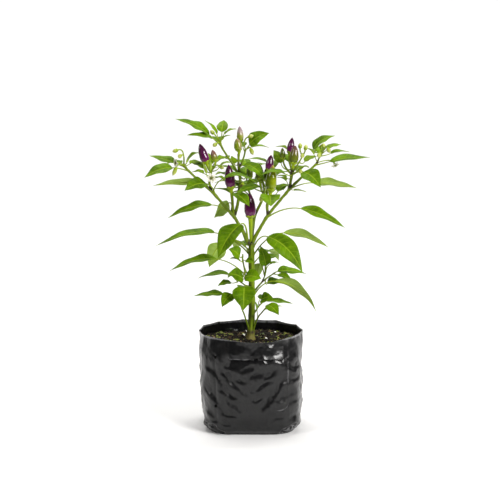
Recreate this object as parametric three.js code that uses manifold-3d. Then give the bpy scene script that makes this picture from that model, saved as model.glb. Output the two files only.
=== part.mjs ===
// A chilli pepper plant growing in a black film grow bag, in millimetres, +Z up.
// The origin is the centre of the bag's flat base, +X runs to the viewer's right, and -Y faces the viewer.
// The trunk forks above the soil.
// Every leafy stem, single leaf, fruit and open flower is a solid of its own.
import * as THREE from "three";
import { mergeVertices } from "three/addons/utils/BufferGeometryUtils.js";
import Module from "manifold-3d";

const wasm = await Module();
wasm.setup();

// Driving dimensions

const SEAT_GAP = 0.3; // clearance between neighbouring solids
const BLADE_THICKNESS = 1.1; // at the midrib, thinning to the edge
const KEEL_DEG = 12; // how far each half of a blade folds up from the midrib
const PETIOLE_RADIUS = 0.5; // of a blade of no width, growing with the blade
const PEDICEL_RADIUS = 0.95;
const BUD_WIDTH = 4.4;
const PETALS = 6;

// Blades up to each length, with the places of their cross-sections.
const BLADE_STATIONS = [
  [14, [0.2, 0.6]],
  [30, [0.12, 0.4, 0.75]],
  [999, [0.1, 0.32, 0.6, 0.83]],
];
const FRUIT_SIDES = 8;
const FRUIT_STATIONS = [0.02, 0.1, 0.3, 0.56, 0.78, 0.93];

const BAG = {
  film: 1.0,
  height: 116,
  soilLine: 103,
  depthShare: 0.97, // front-to-back size over side-to-side size
  sides: 32,
  // half width of the outside at each height: a nearly square foot that widens into a round mouth
  halfWidths: [
    [0, 49.5],
    [2.5, 53.5],
    [9, 57],
    [24, 60],
    [60, 62],
    [103, 62.8],
    [116, 63],
  ],
  footSquareness: 4, // exponent of the superellipse outline
  mouthSquareness: 2.3,
};
const SOIL_RINGS = [0.9, 0.68, 0.42, 0.16]; // shares of the half width where the top is lumpy

const COLOURS = {
  film: 0x1c1d1f,
  soil: 0x2a2018,
  bark: 0x59651f,
  leaf: 0x4f8f12,
  youngLeaf: 0x78a82e,
  purple: 0x4a1740,
  green: 0x5e7d10,
  ripening: 0x8d7a34,
  petal: 0xf1efdf,
};

// The trunk, from its buried end to the first fork, as [x, y, z, radius],
// and the stout stalk of the crown fruit.

const TRUNK = [
  [1, 0, 60, 2.4],
  [1, 0, 86, 3.8],
  [0.5, 0, 106, 4.5],
  [2, 0, 149, 3.8],
  [1.3, 0, 190, 3.3],
  [1, 0, 223, 3.3],
];
const CROWN_STALK = { foot: [1, 0, 215], radius: 2.6 };
const CROWN_FRUIT = ["pepper_crown", [0, -1, 254], [-1, -3, 284], 13.8, "purple"];

// Leafy stems.
// seats:   the stems they grow from or start beside
// stems:   [points, first radius, last radius]
// leaves:  [stem, place along it, blade base, blade tip, width, arch, degrees its face turns to the viewer]
// fruits:  [name, stem, place, base, tip, width, colour]
// buds:    [stem, place, neck, tip]
// flowers: [name, stem, place, neck, direction it faces, width]
// A place along a stem counts its points, so 2.5 is halfway from the third to the fourth.

const LEAFY_STEMS = {
  "limb_left": {
    "seats": [],
    "stems": [
      [[[-1, 0, 221], [-5, 0, 228], [-9, -1, 238], [-15, -2, 248], [-20, -3, 256], [-32, -6, 270],
        [-46, -9, 286], [-60, -11, 298], [-75, -13, 313], [-79, -13, 319]], 2.4, 1.2],
    ],
    "leaves": [
      [0, 0.6, [-12, -12, 247], [-38, -36, 210], 31, 4, 10],
      [0, 3.8, [-46, -8, 270], [-98, -16, 255], 20, 4, 20],
      [0, 4.3, [-26, 6, 271], [-44, 16, 252], 23, 2, -125],
      [0, 5.6, [-63, 0, 296], [-117, 6, 292], 18, 1.5, -31],
      [0, 5.7, [-52, -18, 296], [-77, -36, 289], 22, 3, 30],
      [0, 7.8, [-92, -19, 315], [-124, -32, 304], 19, 3, 30],
      [0, 8.3, [-90, -8, 320], [-121, 2, 328], 15, 1, 25],
      [0, 8.8, [-75, -15, 321], [-60, -22, 333], 14, 3, 30],
      [0, 8.5, [-72, -8, 319], [-59, 0, 321], 9, 2, 15],
      [0, 8.2, [-84, 1, 318], [-102, 24, 316], 15, 4, 0],
      [0, 5.9, [-31, -20, 303], [8, -24, 297], 14, 6, 15],
    ],
    "fruits": [["pepper_left_inner", 0, 4.0, [-23, -5, 289], [-26, -6, 318], 12.7, "purple"]],
    "buds": [
      [0, 9.0, [-85, -18, 336], [-91, -19, 334]],
      [0, 8.6, [-87, -20, 316], [-91, -21, 307]],
      [0, 8.9, [-81, -24, 330], [-84, -28, 328]],
    ],
    "flowers": [["flower_left_tip", 0, 8.7, [-87, -22, 321], [-0.8, -0.5, -0.1], 12]],
  },
  "spur_left": {
    "seats": ["limb_left"],
    "stems": [[[[-47, -9, 288], [-49, -11, 300], [-47, -12, 308], [-46, -12, 314]], 1.5, 1.0]],
    "leaves": [
      [0, 1.5, [-55, -14, 308], [-70, -10, 309], 10, 2, 15],
      [0, 2.0, [-55, -6, 313], [-72, 2, 319], 12, 3, 20],
      [0, 2.8, [-49, -3, 317], [-50, 8, 331], 13, 2, 0],
      [0, 3.0, [-38, -4, 324], [-24, 6, 322], 12, 3, 15],
      [0, 2.4, [-37, -18, 315], [-22, -25, 321], 11, 3, 15],
      [0, 1.6, [-52, -19, 308], [-56, -27, 322], 4.5, 1, 0],
      [0, 1.9, [-47, -20, 312], [-47, -27, 325], 4, 1, 0],
      [0, 1.3, [-41, -14, 303], [-29, -27, 301], 9, 2, 0],
    ],
    "fruits": [
      ["pepper_left_spur", 0, 2.2, [-52, -12, 320], [-60, -12, 343], 11, "purple"],
      ["pepper_left_small", 0, 2.6, [-42, -13, 323], [-45, -13, 336], 7.6, "ripening"],
    ],
    "buds": [[0, 2.9, [-37, -12, 317], [-32, -13, 314]]],
    "flowers": [["flower_left_front", 0, 1.0, [-46, -22, 303], [0.1, -0.95, 0.15], 13]],
  },
  "limb_left_inner": {
    "seats": ["limb_left"],
    "stems": [
      [[[-19, 0, 257], [-15, 2, 271], [-13.5, 4, 286], [-12, 6, 298], [-14, 7, 316], [-14, 8, 330]], 1.9, 1.4],
      [[[-13, 8, 315], [-10, 9, 320], [-7, 9, 330], [-6, 9, 335]], 1.2, 0.9],
    ],
    "leaves": [
      [0, 2.0, [-19, -10, 284], [-1, -28, 270], 19, 2, 10],
      [0, 1.8, [-24, 2, 284], [-44, 8, 288], 9, 2, 10],
      [0, 2.4, [-28, 8, 293], [-38, -2, 303], 10, 2, 20],
      [0, 3.7, [-8, 1, 317], [16, -10, 300], 17, 5, 28],
      [0, 4.1, [-19, 14, 318], [-23, 22, 327], 9, 1, 0],
      [0, 2.9, [-22, 18, 300], [-44, 40, 302], 20, 5, 0],
      [0, 3.3, [-6, 20, 302], [-4, 42, 312], 17, 4, 0],
      [1, 2.8, [-1, 9, 341], [23, 4, 355], 19, 3, 58],
      [1, 2.9, [1, 13, 338], [23, 20, 337], 11, 2, 10],
      [1, 2.4, [-9, 17, 338], [-15, 36, 342], 13, 3, 0],
    ],
    "fruits": [
      ["pepper_top_front", 0, 5.0, [-14, 4, 334], [-16, 3, 349], 9.6, "ripening"],
      ["pepper_top", 0, 4.9, [-12, 14, 345], [-13, 14, 363], 8.2, "ripening"],
    ],
    "buds": [
      [1, 3.0, [-3, 6, 350], [3, 4, 352]],
      [1, 3.0, [0, 6, 337], [3, 4, 330]],
      [0, 2.6, [-9, -2, 296], [-11, -6, 289]],
    ],
    "flowers": [],
  },
  "limb_left_top": {
    "seats": ["limb_left_inner"],
    "stems": [[[[-14, 7, 304], [-20, 8, 316], [-27, 7, 326], [-34, 5, 338], [-36, 4, 343]], 1.5, 1.0]],
    "leaves": [
      [0, 3.2, [-49, 2, 353], [-89, -6, 372], 20, 3, 30],
      [0, 2.9, [-45, -4, 349], [-75, -14, 353], 15, 2, 22],
      [0, 3.9, [-40, 6, 354], [-55, 10, 370], 9, 2, 10],
      [0, 4.0, [-34, 9, 356], [-32, 27, 370], 14, 2, 0],
      [0, 3.8, [-31, 1, 354], [-16, -6, 360], 11, 2, 15],
      [0, 3.6, [-34, -3, 349], [-23, -11, 353], 8, 1, 10],
      [0, 3.3, [-38, 18, 344], [-42, 44, 346], 15, 4, 0],
      [0, 2.0, [-28, 18, 324], [-44, 44, 316], 16, 4, 0],
    ],
    "fruits": [],
    "buds": [
      [0, 3.9, [-43, 0, 354], [-47, -2, 358]],
      [0, 3.7, [-40, -3, 343], [-44, -6, 340]],
    ],
    "flowers": [],
  },
  "limb_centre": {
    "seats": ["limb_left", "limb_right"],
    "stems": [
      [[[1, 3, 222], [3, 8, 241], [6, 12, 256], [14, 15, 273], [17, 17, 286], [14, 18, 300]], 2.1, 1.3],
      [[[6, 12, 257], [3, 30, 270], [-3, 46, 287], [-5, 56, 302]], 1.6, 1.0],
    ],
    "leaves": [
      [0, 5.0, [20, 20, 320], [-3, 25, 323], 10, 2, 10],
      [0, 4.2, [12, 1, 291], [-18, -19, 283], 15, 3, 20],
      [0, 4.5, [9, 12, 297], [-5, 4, 289], 13, 3, 20],
      [0, 3.2, [24, 32, 284], [42, 62, 282], 20, 6, 0],
      [0, 3.8, [0, 32, 290], [-22, 62, 284], 20, 6, 0],
      [0, 4.8, [26, 30, 310], [32, 52, 320], 15, 4, 0],
      [0, 4.4, [28, 22, 300], [50, 36, 306], 14, 4, 0],
      [1, 1.4, [-14, 48, 288], [-45, 64, 291], 19, 5, 0],
      [1, 1.8, [9, 54, 293], [30, 80, 295], 18, 5, 0],
      [1, 2.2, [-6, 64, 290], [-10, 99, 279], 22, 6, 0],
      [1, 2.8, [-18, 64, 306], [-45, 76, 309], 16, 4, 0],
      [1, 2.9, [6, 66, 308], [24, 88, 312], 15, 4, 0],
      [1, 3.0, [-6, 66, 311], [-8, 90, 319], 14, 4, 0],
    ],
    "fruits": [
      ["pepper_centre_right", 0, 4.2, [19, 12, 297], [19, 11, 313], 6.5, "green"],
      ["pepper_centre_left", 0, 4.9, [0, 14, 301], [-2, 13, 316], 7.2, "green"],
      ["pepper_back", 0, 3.6, [12, 34, 296], [10, 40, 318], 10.5, "purple"],
    ],
    "buds": [[0, 5.0, [6, 22, 313], [2, 20, 309]]],
    "flowers": [],
  },
  "limb_right": {
    "seats": ["limb_left"],
    "stems": [
      [[[1, 0, 220], [6, 0, 231], [11, -1, 240], [21, -3, 257], [33, -5, 272], [47, -8, 289],
        [63, -10, 305], [76, -12, 317], [80, -12, 322]], 2.3, 1.2],
      [[[79, -12, 320], [82, -10, 327], [86, -8, 333]], 1.0, 0.8],
    ],
    "leaves": [
      [0, 2.8, [60, -12, 266], [112, -22, 244], 21, 3, 24],
      [0, 5.0, [73, -1, 296], [128, 8, 289], 19, 2, -32],
      [0, 5.4, [52, 2, 287], [68, 8, 284], 9, 1, 5],
      [0, 4.7, [43, 5, 298], [32, 13, 301], 9, 2, 0],
      [0, 7.1, [94, -14, 322], [141, -18, 327], 16, 2, 27],
      [0, 7.8, [75, -16, 331], [66, -24, 338], 9, 2, 0],
      [1, 1.6, [92, 0, 336], [109, 7, 341], 12, 2, 15],
      [1, 1.9, [75, -5, 336], [101, -4, 352], 17, 4, 28],
      [1, 1.2, [96, -1, 331], [120, 10, 332], 12, 2, 10],
      [1, 1.0, [83, 5, 331], [90, 27, 337], 15, 4, 0],
    ],
    "fruits": [],
    "buds": [
      [1, 2.0, [84, -12, 341], [88, -14, 341]],
      [1, 2.0, [91, -12, 338], [94, -14, 333]],
      [1, 1.5, [82, -17, 332], [80, -21, 328]],
    ],
    "flowers": [["flower_right_tip", 0, 7.6, [101, -4, 318], [0.3, -0.5, -0.8], 11]],
  },
  "limb_right_upper": {
    "seats": ["limb_right"],
    "stems": [
      [[[47, -8, 290], [48, -9, 299], [49, -10, 307], [50, -10, 314]], 1.8, 1.3],
      [[[49, -10, 307], [56, -9, 318], [62, -8, 328]], 1.1, 0.8],
    ],
    "leaves": [
      [0, 1.9, [63, -20, 310], [82, -38, 293], 22, 3, 30],
      [0, 1.8, [41, -21, 308], [13, -28, 307], 13, 4, 15],
      [0, 2.3, [55, -17, 311], [66, -22, 318], 9, 1, 10],
      [0, 1.4, [43, -1, 302], [31, 6, 303], 9, 2, 0],
      [0, 2.8, [37, 9, 319], [28, 19, 334], 16, 2, 20],
      [0, 2.9, [44, 8, 336], [30, 11, 338], 9, 2, 10],
      [0, 2.2, [56, 7, 309], [72, 28, 312], 15, 4, 0],
      [0, 2.6, [47, 11, 320], [44, 34, 328], 16, 4, 0],
      [1, 1.3, [65, 1, 321], [80, 9, 327], 11, 2, 20],
    ],
    "fruits": [
      ["pepper_right_front", 0, 3.0, [51, -15, 319], [53, -15, 341], 10.7, "ripening"],
      ["pepper_right_top", 0, 2.8, [47, -1, 331], [50, 0, 350], 8.8, "purple"],
      ["pepper_right_small", 0, 2.0, [39, -4, 325], [38, -4, 338], 6.4, "green"],
    ],
    "buds": [
      [1, 2.0, [59, -8, 337], [59, -9, 343]],
      [1, 2.0, [65, -8, 335], [66, -9, 341]],
      [1, 2.0, [62, -12, 331], [61, -16, 327]],
      [0, 2.9, [58, -19, 313], [60, -22, 309]],
    ],
    "flowers": [],
  },
  "limb_right_inner": {
    "seats": ["limb_right"],
    "stems": [[[[21, -3, 258], [20, -5, 267], [22, -7, 277]], 1.8, 1.5]],
    "leaves": [
      [0, 1.9, [23, -14, 282], [24, -40, 271], 24, 2, 0],
      [0, 1.5, [33, 4, 285], [49, 21, 292], 14, 3, 10],
    ],
    "fruits": [
      ["pepper_right_inner", 0, 2.0, [24, -8, 286], [27, -9, 318], 13.5, "green"],
      ["pepper_right_inner_back", 0, 1.2, [22, 6, 310], [25, 6, 329], 9.8, "purple"],
    ],
    "buds": [[0, 1.7, [14, -12, 281], [12, -15, 275]]],
    "flowers": [],
  },
  "shoot_left_mid": {
    "seats": [],
    "stems": [[[[0, -1, 182], [-6, -6, 191], [-9, -8, 202], [-9, -9, 211]], 1.1, 0.8]],
    "leaves": [
      [0, 2.6, [-13, -10, 208], [-26, -17, 218], 17, 2, 62],
      [0, 2.0, [-12, -12, 203], [-25, -16, 206], 9, 2, 10],
      [0, 2.2, [-5, -12, 204], [4, -18, 202], 10, 1, 40],
      [0, 1.2, [-9, -14, 182], [-27, -25, 189], 20, 2, 50],
      [0, 1.0, [-6, -15, 184], [13, -22, 183], 20, 2, 45],
    ],
    "fruits": [],
    "buds": [],
    "flowers": [],
  },
  "shoot_left_low": {
    "seats": [],
    "stems": [[[[0, 0, 167], [-10, -3, 175], [-17, -4, 181]], 1.0, 0.8]],
    "leaves": [
      [0, 2.0, [-26, 0, 185], [-64, 7, 179], 14, 3, 15],
      [0, 1.5, [-23, -9, 176], [-39, -15, 173], 12, 2, 20],
      [0, 1.7, [-16, -14, 179], [-20, -22, 186], 8, 1, 0],
      [0, 1.2, [-14, 9, 180], [-28, 30, 176], 14, 4, 0],
    ],
    "fruits": [],
    "buds": [],
    "flowers": [],
  },
  "shoot_base_left": {
    "seats": [],
    "stems": [[[[0, -1, 112], [-5, -6, 130], [-11, -9, 147], [-15, -10, 156]], 1.1, 0.8]],
    "leaves": [
      [0, 3.0, [-22, -13, 163], [-34, -24, 149], 16, 2, 30],
      [0, 2.8, [-33, -3, 161], [-69, 3, 158], 14, 1.5, 22],
    ],
    "fruits": [],
    "buds": [],
    "flowers": [],
  },
  "shoot_base_right": {
    "seats": [],
    "stems": [[[[2, -1, 112], [8, -7, 131], [14, -9, 140], [19, -10, 146]], 1.0, 0.8]],
    "leaves": [
      [0, 3.0, [21, -13, 150], [34, -28, 140], 15, 2, 25],
      [0, 2.7, [27, -5, 145], [40, -1, 146], 7, 1, 0],
      [0, 1.2, [8, -13, 144], [5, -19, 155], 9, 1, 70],
    ],
    "fruits": [],
    "buds": [],
    "flowers": [],
  },
  "shoot_right_low": {
    "seats": [],
    "stems": [[[[2, 0, 132], [9, 1, 144], [15, 1, 151]], 1.0, 0.8]],
    "leaves": [
      [0, 2.0, [20, 1, 152], [52, 6, 148], 13, 1.5, 18],
      [0, 1.8, [13, -5, 154], [27, -13, 159], 15, 2, 50],
      [0, 1.3, [12, 14, 152], [26, 38, 148], 14, 4, 0],
    ],
    "fruits": [],
    "buds": [],
    "flowers": [],
  },
  "shoot_right_mid": {
    "seats": [],
    "stems": [
      [[[2, 0, 161], [12, 2, 173], [20, 3, 180], [29, 3, 186]], 1.2, 0.8],
      [[[14, 3, 175], [18, 1, 185], [19, -1, 193]], 0.9, 0.7],
    ],
    "leaves": [
      [0, 3.0, [33, 4, 188], [68, 12, 184], 17, 2, 24],
      [0, 2.9, [33, -2, 185], [51, -10, 177], 12, 2, 20],
      [0, 1.8, [21, 10, 172], [42, 18, 171], 15, 3, 25],
      [1, 2.0, [19, -4, 196], [12, -8, 221], 15, 1, 115],
      [1, 1.6, [24, 5, 197], [35, 12, 198], 8, 1, 10],
      [1, 1.2, [22, 14, 202], [36, 28, 204], 13, 2, 10],
      [1, 0.8, [11, 9, 197], [8, 19, 175], 14, 2, 0],
    ],
    "fruits": [],
    "buds": [],
    "flowers": [],
  },
};

// Single leaves that grow straight from the trunk:
// [height on the trunk, blade base, blade tip, width, arch, facing].

const TRUNK_LEAVES = {
  "leaf_left_long": [212, [-43, 6, 235], [-115, 10, 218], 20, 6, 18],
  "leaf_left_low": [174, [-41, -9, 205], [-97, -17, 191], 19, 5, 18],
  "leaf_left_back": [206, [-34, 7, 222], [-50, 5, 193], 24, 3, -120],
  "leaf_right_front": [209, [21, -9, 232], [62, -28, 191], 26, 7, 45],
  "leaf_right_upper": [203, [40, 5, 235], [95, 13, 216], 19, 5, -36],
  "leaf_right_droop": [155, [30, -8, 178], [79, -14, 142], 22, 9, -40],
  "leaf_front_low": [166, [-7, -15, 172], [-8, -34, 147], 28, 3, 0],
  "leaf_back_upper": [198, [-6, 30, 216], [-20, 78, 204], 24, 8, 0],
  "leaf_back_right": [194, [14, 28, 206], [36, 70, 192], 22, 8, 0],
  "leaf_back_low": [150, [-4, 24, 162], [-10, 60, 150], 20, 7, 0],
};

// Small helpers

const vec = (p) => new THREE.Vector3(p[0], p[1], p[2]);
const lerp = THREE.MathUtils.lerp;
const smoothCurve = (points) => new THREE.CatmullRomCurve3(points.map(vec), false, "catmullrom", 0.5);

// Reads a table of [place, value] rows, straight between them.
function tableValue(rows, place) {
  const last = rows.length - 1;
  const k = Math.min(Math.max(rows.findIndex((row) => row[0] >= place), 1), last);
  const share = (place - rows[k - 1][0]) / (rows[k][0] - rows[k - 1][0]);
  return lerp(rows[k - 1][1], rows[k][1], THREE.MathUtils.clamp(share, 0, 1));
}

// A closed solid from a geometry whose shared vertices still have to be merged.
function solidOf(geometry) {
  geometry.deleteAttribute("normal");
  geometry.deleteAttribute("uv");
  const merged = mergeVertices(geometry, 1e-4);
  const mesh = new wasm.Mesh({
    numProp: 3,
    vertProperties: merged.attributes.position.array,
    triVerts: new Uint32Array(merged.index.array),
  });
  return new wasm.Manifold(mesh);
}

const union = (solids) => wasm.Manifold.union(solids);

// The largest body of a solid: a cut can leave a loose scrap, which is dropped.
function mainBody(solid) {
  return solid.decompose().sort((a, b) => b.volume() - a.volume())[0];
}

function meshOf(name, solid, colour, roughness) {
  const body = mainBody(solid).getMesh();
  const positions = [];
  for (let i = 0; i < body.numVert; i++) {
    const start = i * body.numProp;
    positions.push(...body.vertProperties.slice(start, start + 3));
  }
  const geometry = new THREE.BufferGeometry()
    .setAttribute("position", new THREE.Float32BufferAttribute(positions, 3))
    .setIndex([...body.triVerts]);
  geometry.computeVertexNormals();
  const material = new THREE.MeshStandardMaterial({ color: colour, roughness, metalness: 0 });
  const mesh = new THREE.Mesh(geometry, material);
  mesh.name = name;
  return mesh;
}

// Skins a row of rings into a closed solid. The last ring may be a single point.
// Columns named in flipped split their faces along the other diagonal.
function skin(rings, flipped = []) {
  const around = rings[0].length;
  const positions = rings.flat().flatMap((p) => [p.x, p.y, p.z]);
  const faces = [];
  for (let i = 0; i < rings.length - 1; i++) {
    for (let j = 0; j < around; j++) {
      const a = i * around + j;
      const b = i * around + ((j + 1) % around);
      if (rings[i + 1].length === 1) {
        faces.push(a, b, (i + 1) * around);
      } else if (flipped.includes(j)) {
        faces.push(a, b, a + around, b, b + around, a + around);
      } else {
        faces.push(a, b, b + around, a, b + around, a + around);
      }
    }
  }
  const end = (rings.length - 1) * around;
  for (let j = 1; j < around - 1; j++) {
    faces.push(0, j + 1, j);
    if (rings.at(-1).length > 1) faces.push(end, end + j, end + j + 1);
  }
  const geometry = new THREE.BufferGeometry()
    .setAttribute("position", new THREE.Float32BufferAttribute(positions, 3))
    .setIndex(faces);
  return solidOf(geometry);
}

// Round sections along a path. Each station is [centre, direction, radius], and the ring's
// first corner is carried back from the last station, so that neighbouring bodies line up.
function sectionRings(stations, sides, lastNormal) {
  const rings = [];
  const normal = lastNormal ? lastNormal.clone() : new THREE.Vector3(1, 0, 0);
  for (const [centre, along, radius] of [...stations].reverse()) {
    normal.addScaledVector(along, -normal.dot(along)).normalize();
    const binormal = along.clone().cross(normal);
    const ring = [];
    for (let j = 0; j < (radius > 0 ? sides : 1); j++) {
      const angle = (2 * Math.PI * j) / sides;
      ring.push(
        centre
          .clone()
          .addScaledVector(normal, radius * Math.cos(angle))
          .addScaledVector(binormal, radius * Math.sin(angle)),
      );
    }
    rings.unshift(ring);
  }
  return rings;
}

function curveStations(curve, radiusAt, steps, from = 0, to = 1) {
  const stations = [];
  for (let i = 0; i <= steps; i++) {
    const share = lerp(from, to, i / steps);
    stations.push([curve.getPoint(share), curve.getTangent(share), radiusAt(share)]);
  }
  return stations;
}

const bar = (curve, radiusAt, sides, steps) =>
  skin(sectionRings(curveStations(curve, radiusAt, steps), sides));

// The stations of a body turned about an axis, from rows of [distance along the axis, radius].
const turnedStations = (base, axis, rows) =>
  rows.map(([distance, radius]) => [base.clone().addScaledVector(axis, distance), axis, radius]);

// A stalk that leaves the stem at from and arrives at to along the direction given.
function stalkStations(from, to, arriving, firstRadius, lastRadius) {
  const reach = from.distanceTo(to);
  const bend = to.clone().addScaledVector(arriving, -0.45 * reach);
  const curve = new THREE.QuadraticBezierCurve3(from, bend, to);
  const steps = reach > 22 ? 3 : 2;
  return curveStations(curve, (share) => lerp(firstRadius, lastRadius, share), steps);
}

// Leaves: a petiole that widens into an arched, keeled blade.

// Half width along the blade: broadest at a third of its length, with a drawn-out tip.
function bladeOutline(share) {
  const peak = Math.pow(0.343, 0.6) * Math.pow(0.657, 1.15);
  return (Math.pow(share, 0.6) * Math.pow(1 - share, 1.15)) / peak;
}

function midribOf(base, tip, arch) {
  const chord = tip.clone().sub(base);
  const up = new THREE.Vector3(0, 0, 1).addScaledVector(chord, -chord.z / chord.lengthSq()).normalize();
  const bend = base.clone().addScaledVector(chord, 0.45).addScaledVector(up, 2 * arch);
  return new THREE.QuadraticBezierCurve3(base, bend, tip);
}

// Across the blade, turned so that its upper face looks towards the viewer by the angle given.
function bladeSide(base, tip, facingDeg) {
  const chord = tip.clone().sub(base).normalize();
  const level = new THREE.Vector3(0, 0, 1).cross(chord).normalize();
  return level.applyAxisAngle(chord, THREE.MathUtils.degToRad(facingDeg) * Math.sign(chord.x));
}

function leaf(from, [basePlace, tipPlace, width, arch, facingDeg]) {
  const base = vec(basePlace);
  const tip = vec(tipPlace);
  const midrib = midribOf(base, tip, arch);
  const side = bladeSide(base, tip, facingDeg);
  const lift = Math.tan(THREE.MathUtils.degToRad(KEEL_DEG));
  const radius = PETIOLE_RADIUS + 0.018 * width;
  const petiole = stalkStations(from, base, midrib.getTangent(0), radius * 1.2, radius * 0.8);
  const rings = sectionRings(petiole, 4, side);
  const [, stations] = BLADE_STATIONS.find(([longest]) => base.distanceTo(tip) < longest);
  for (const share of stations) {
    const centre = midrib.getPoint(share);
    const normal = midrib.getTangent(share).cross(side).normalize();
    const half = (width / 2) * bladeOutline(share);
    const corner = (amount, rise) =>
      centre
        .clone()
        .addScaledVector(side, amount)
        .addScaledVector(normal, Math.abs(amount) * lift + rise);
    rings.push([
      corner(half, 0),
      corner(0, BLADE_THICKNESS / 2),
      corner(-half, 0),
      corner(0, -BLADE_THICKNESS / 2),
    ]);
  }
  rings.push([tip]);
  return skin(rings, [1, 3]);
}

// Fruits: an upright blunt cone with a rounded shoulder, seated in a cup-shaped calyx.

function fruitOutline(share) {
  const shoulder = 0.3;
  if (share < shoulder) return Math.sqrt(1 - Math.pow(1 - share / shoulder, 2));
  return Math.pow(1 - Math.pow((share - shoulder) / (1 - shoulder), 2.1), 0.75);
}

const axisOf = (base, tip) => tip.clone().sub(base).normalize();

function fruit(base, tip, width) {
  const length = base.distanceTo(tip);
  const rows = FRUIT_STATIONS.map((share) => [share * length, (width / 2) * fruitOutline(share)]);
  return skin(sectionRings(turnedStations(base, axisOf(base, tip), [...rows, [length, 0]]), FRUIT_SIDES));
}

// The stalk and the cup of a fruit. The cup's inside follows the foot of the fruit, a seat gap away.
function fruitStalk(from, base, tip, width, stalkRadius) {
  const axis = axisOf(base, tip);
  const length = base.distanceTo(tip);
  const foot = (share) => [share * length, (width / 2) * fruitOutline(share)];
  const [floor, floorRadius] = foot(FRUIT_STATIONS[0]);
  const [lip, lipRadius] = foot(FRUIT_STATIONS[1]);
  const neck = base.clone().addScaledVector(axis, -0.3 * width);
  const rows = [
    [-1.1, floorRadius + 1.2],
    [lip, lipRadius + 1.1],
    [lip, lipRadius + SEAT_GAP],
    [floor - SEAT_GAP, floorRadius + SEAT_GAP],
  ];
  const stations = [
    ...stalkStations(from, neck, axis, PEDICEL_RADIUS * 1.1, stalkRadius),
    ...turnedStations(base, axis, rows),
  ];
  return skin(sectionRings(stations, FRUIT_SIDES));
}

// Buds and flowers

function budStalk(from, neck, tip) {
  const length = neck.distanceTo(tip);
  const rows = [
    [0.15 * length, 0.36 * BUD_WIDTH],
    [0.6 * length, 0.5 * BUD_WIDTH],
    [length, 0],
  ];
  const axis = axisOf(neck, tip);
  const stations = [...stalkStations(from, neck, axis, 0.75, 0.8), ...turnedStations(neck, axis, rows)];
  return skin(sectionRings(stations, 4));
}

function flowerStalk(from, neck, facing) {
  return skin(sectionRings(stalkStations(from, neck, vec(facing).normalize(), 0.75, 1.5), 6));
}

// The open flower: a star of pointed petals round a short tube with a bundle of anthers.
function flower(neck, facing, width) {
  const axis = vec(facing).normalize();
  const star = new THREE.Shape();
  for (let i = 0; i < PETALS * 2; i++) {
    const reach = i % 2 === 0 ? width / 2 : 0.24 * width;
    const angle = (Math.PI * i) / PETALS;
    if (i === 0) star.moveTo(reach, 0);
    else star.lineTo(reach * Math.cos(angle), reach * Math.sin(angle));
  }
  const petals = new THREE.ExtrudeGeometry(star, { depth: 0.9, bevelEnabled: false });
  const turn = new THREE.Quaternion().setFromUnitVectors(new THREE.Vector3(0, 0, 1), axis);
  const place = neck.clone().addScaledVector(axis, SEAT_GAP);
  petals.applyQuaternion(turn).translate(place.x, place.y, place.z);
  const antherRows = [
    [0.5, 1.3],
    [2.6, 1.1],
    [3.6, 0],
  ];
  const anthers = skin(sectionRings(turnedStations(place, axis, antherRows), 6));
  return union([solidOf(petals), anthers]);
}

// The bag and its soil share one outline, so a constant inset keeps them the film's thickness apart.

function bagOutline(angle, halfWidth, z) {
  const share = THREE.MathUtils.clamp(z / BAG.height, 0, 1);
  const power = 2 / lerp(BAG.footSquareness, BAG.mouthSquareness, share);
  const c = Math.cos(angle);
  const s = Math.sin(angle);
  return [
    halfWidth * Math.sign(c) * Math.pow(Math.abs(c), power),
    halfWidth * BAG.depthShare * Math.sign(s) * Math.pow(Math.abs(s), power),
  ];
}

// The mouth stands a little higher at the back, and its edge wanders as soft film does.
function mouthRise(angle) {
  return 2.2 * Math.sin(angle) + 0.9 * Math.sin(5 * angle + 1) + 0.6 * Math.sin(9 * angle);
}

// Turns rows of [half width, height] and reshapes the circle into the bag's outline.
function bagSolid(rows, riseAt) {
  const geometry = new THREE.LatheGeometry(rows.map(([r, z]) => new THREE.Vector2(r, z)), BAG.sides);
  const position = geometry.attributes.position;
  for (let i = 0; i < position.count; i++) {
    const angle = Math.atan2(position.getX(i), position.getZ(i));
    const r = Math.hypot(position.getX(i), position.getZ(i));
    const z = position.getY(i);
    const [x, y] = bagOutline(angle, r, z);
    position.setXYZ(i, x, y, z + riseAt(angle, r, z));
  }
  return solidOf(geometry);
}

function bag() {
  const inner = BAG.halfWidths.filter(([z]) => z > 2 * BAG.film).map(([z, half]) => [half - BAG.film, z]);
  const floorHalf = BAG.halfWidths[0][1] - BAG.film;
  const rows = [
    [0, 0],
    ...BAG.halfWidths.map(([z, half]) => [half, z]),
    ...inner.reverse(),
    [floorHalf, BAG.film],
    [0, BAG.film],
  ];
  return bagSolid(rows, (angle, r, z) => (z === BAG.height ? mouthRise(angle) : 0));
}

// A filling of potting mix with a lumpy top and a plain hole for the trunk.
function soil() {
  const inset = BAG.film + SEAT_GAP;
  const sides = BAG.halfWidths.filter(([z]) => z > 2 * BAG.film && z <= BAG.soilLine);
  const topHalf = sides.at(-1)[1] - inset;
  const rows = [
    [0, inset],
    [BAG.halfWidths[0][1] - inset, inset],
    ...sides.map(([z, half]) => [half - inset, z]),
    ...SOIL_RINGS.map((share) => [share * topHalf, BAG.soilLine + 1.5]),
    [0, BAG.soilLine + 1.5],
  ];
  const lumps = (angle, r) => 1.3 * Math.sin(3 * angle + 0.09 * r) + 0.9 * Math.sin(7 * angle - 0.13 * r);
  const riseAt = (angle, r, z) => (z > BAG.soilLine ? lumps(angle, r) * Math.min(1, r / 15) : 0);
  return bagSolid(rows, riseAt).subtract(trunkBar(SEAT_GAP));
}

// The trunk with the crown fruit's stalk and calyx

const trunkCurve = smoothCurve(TRUNK);

const radiusAlong = (rows) => {
  const places = rows.map((row, i) => [i / (rows.length - 1), row[3]]);
  return (share) => tableValue(places, share);
};

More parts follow.
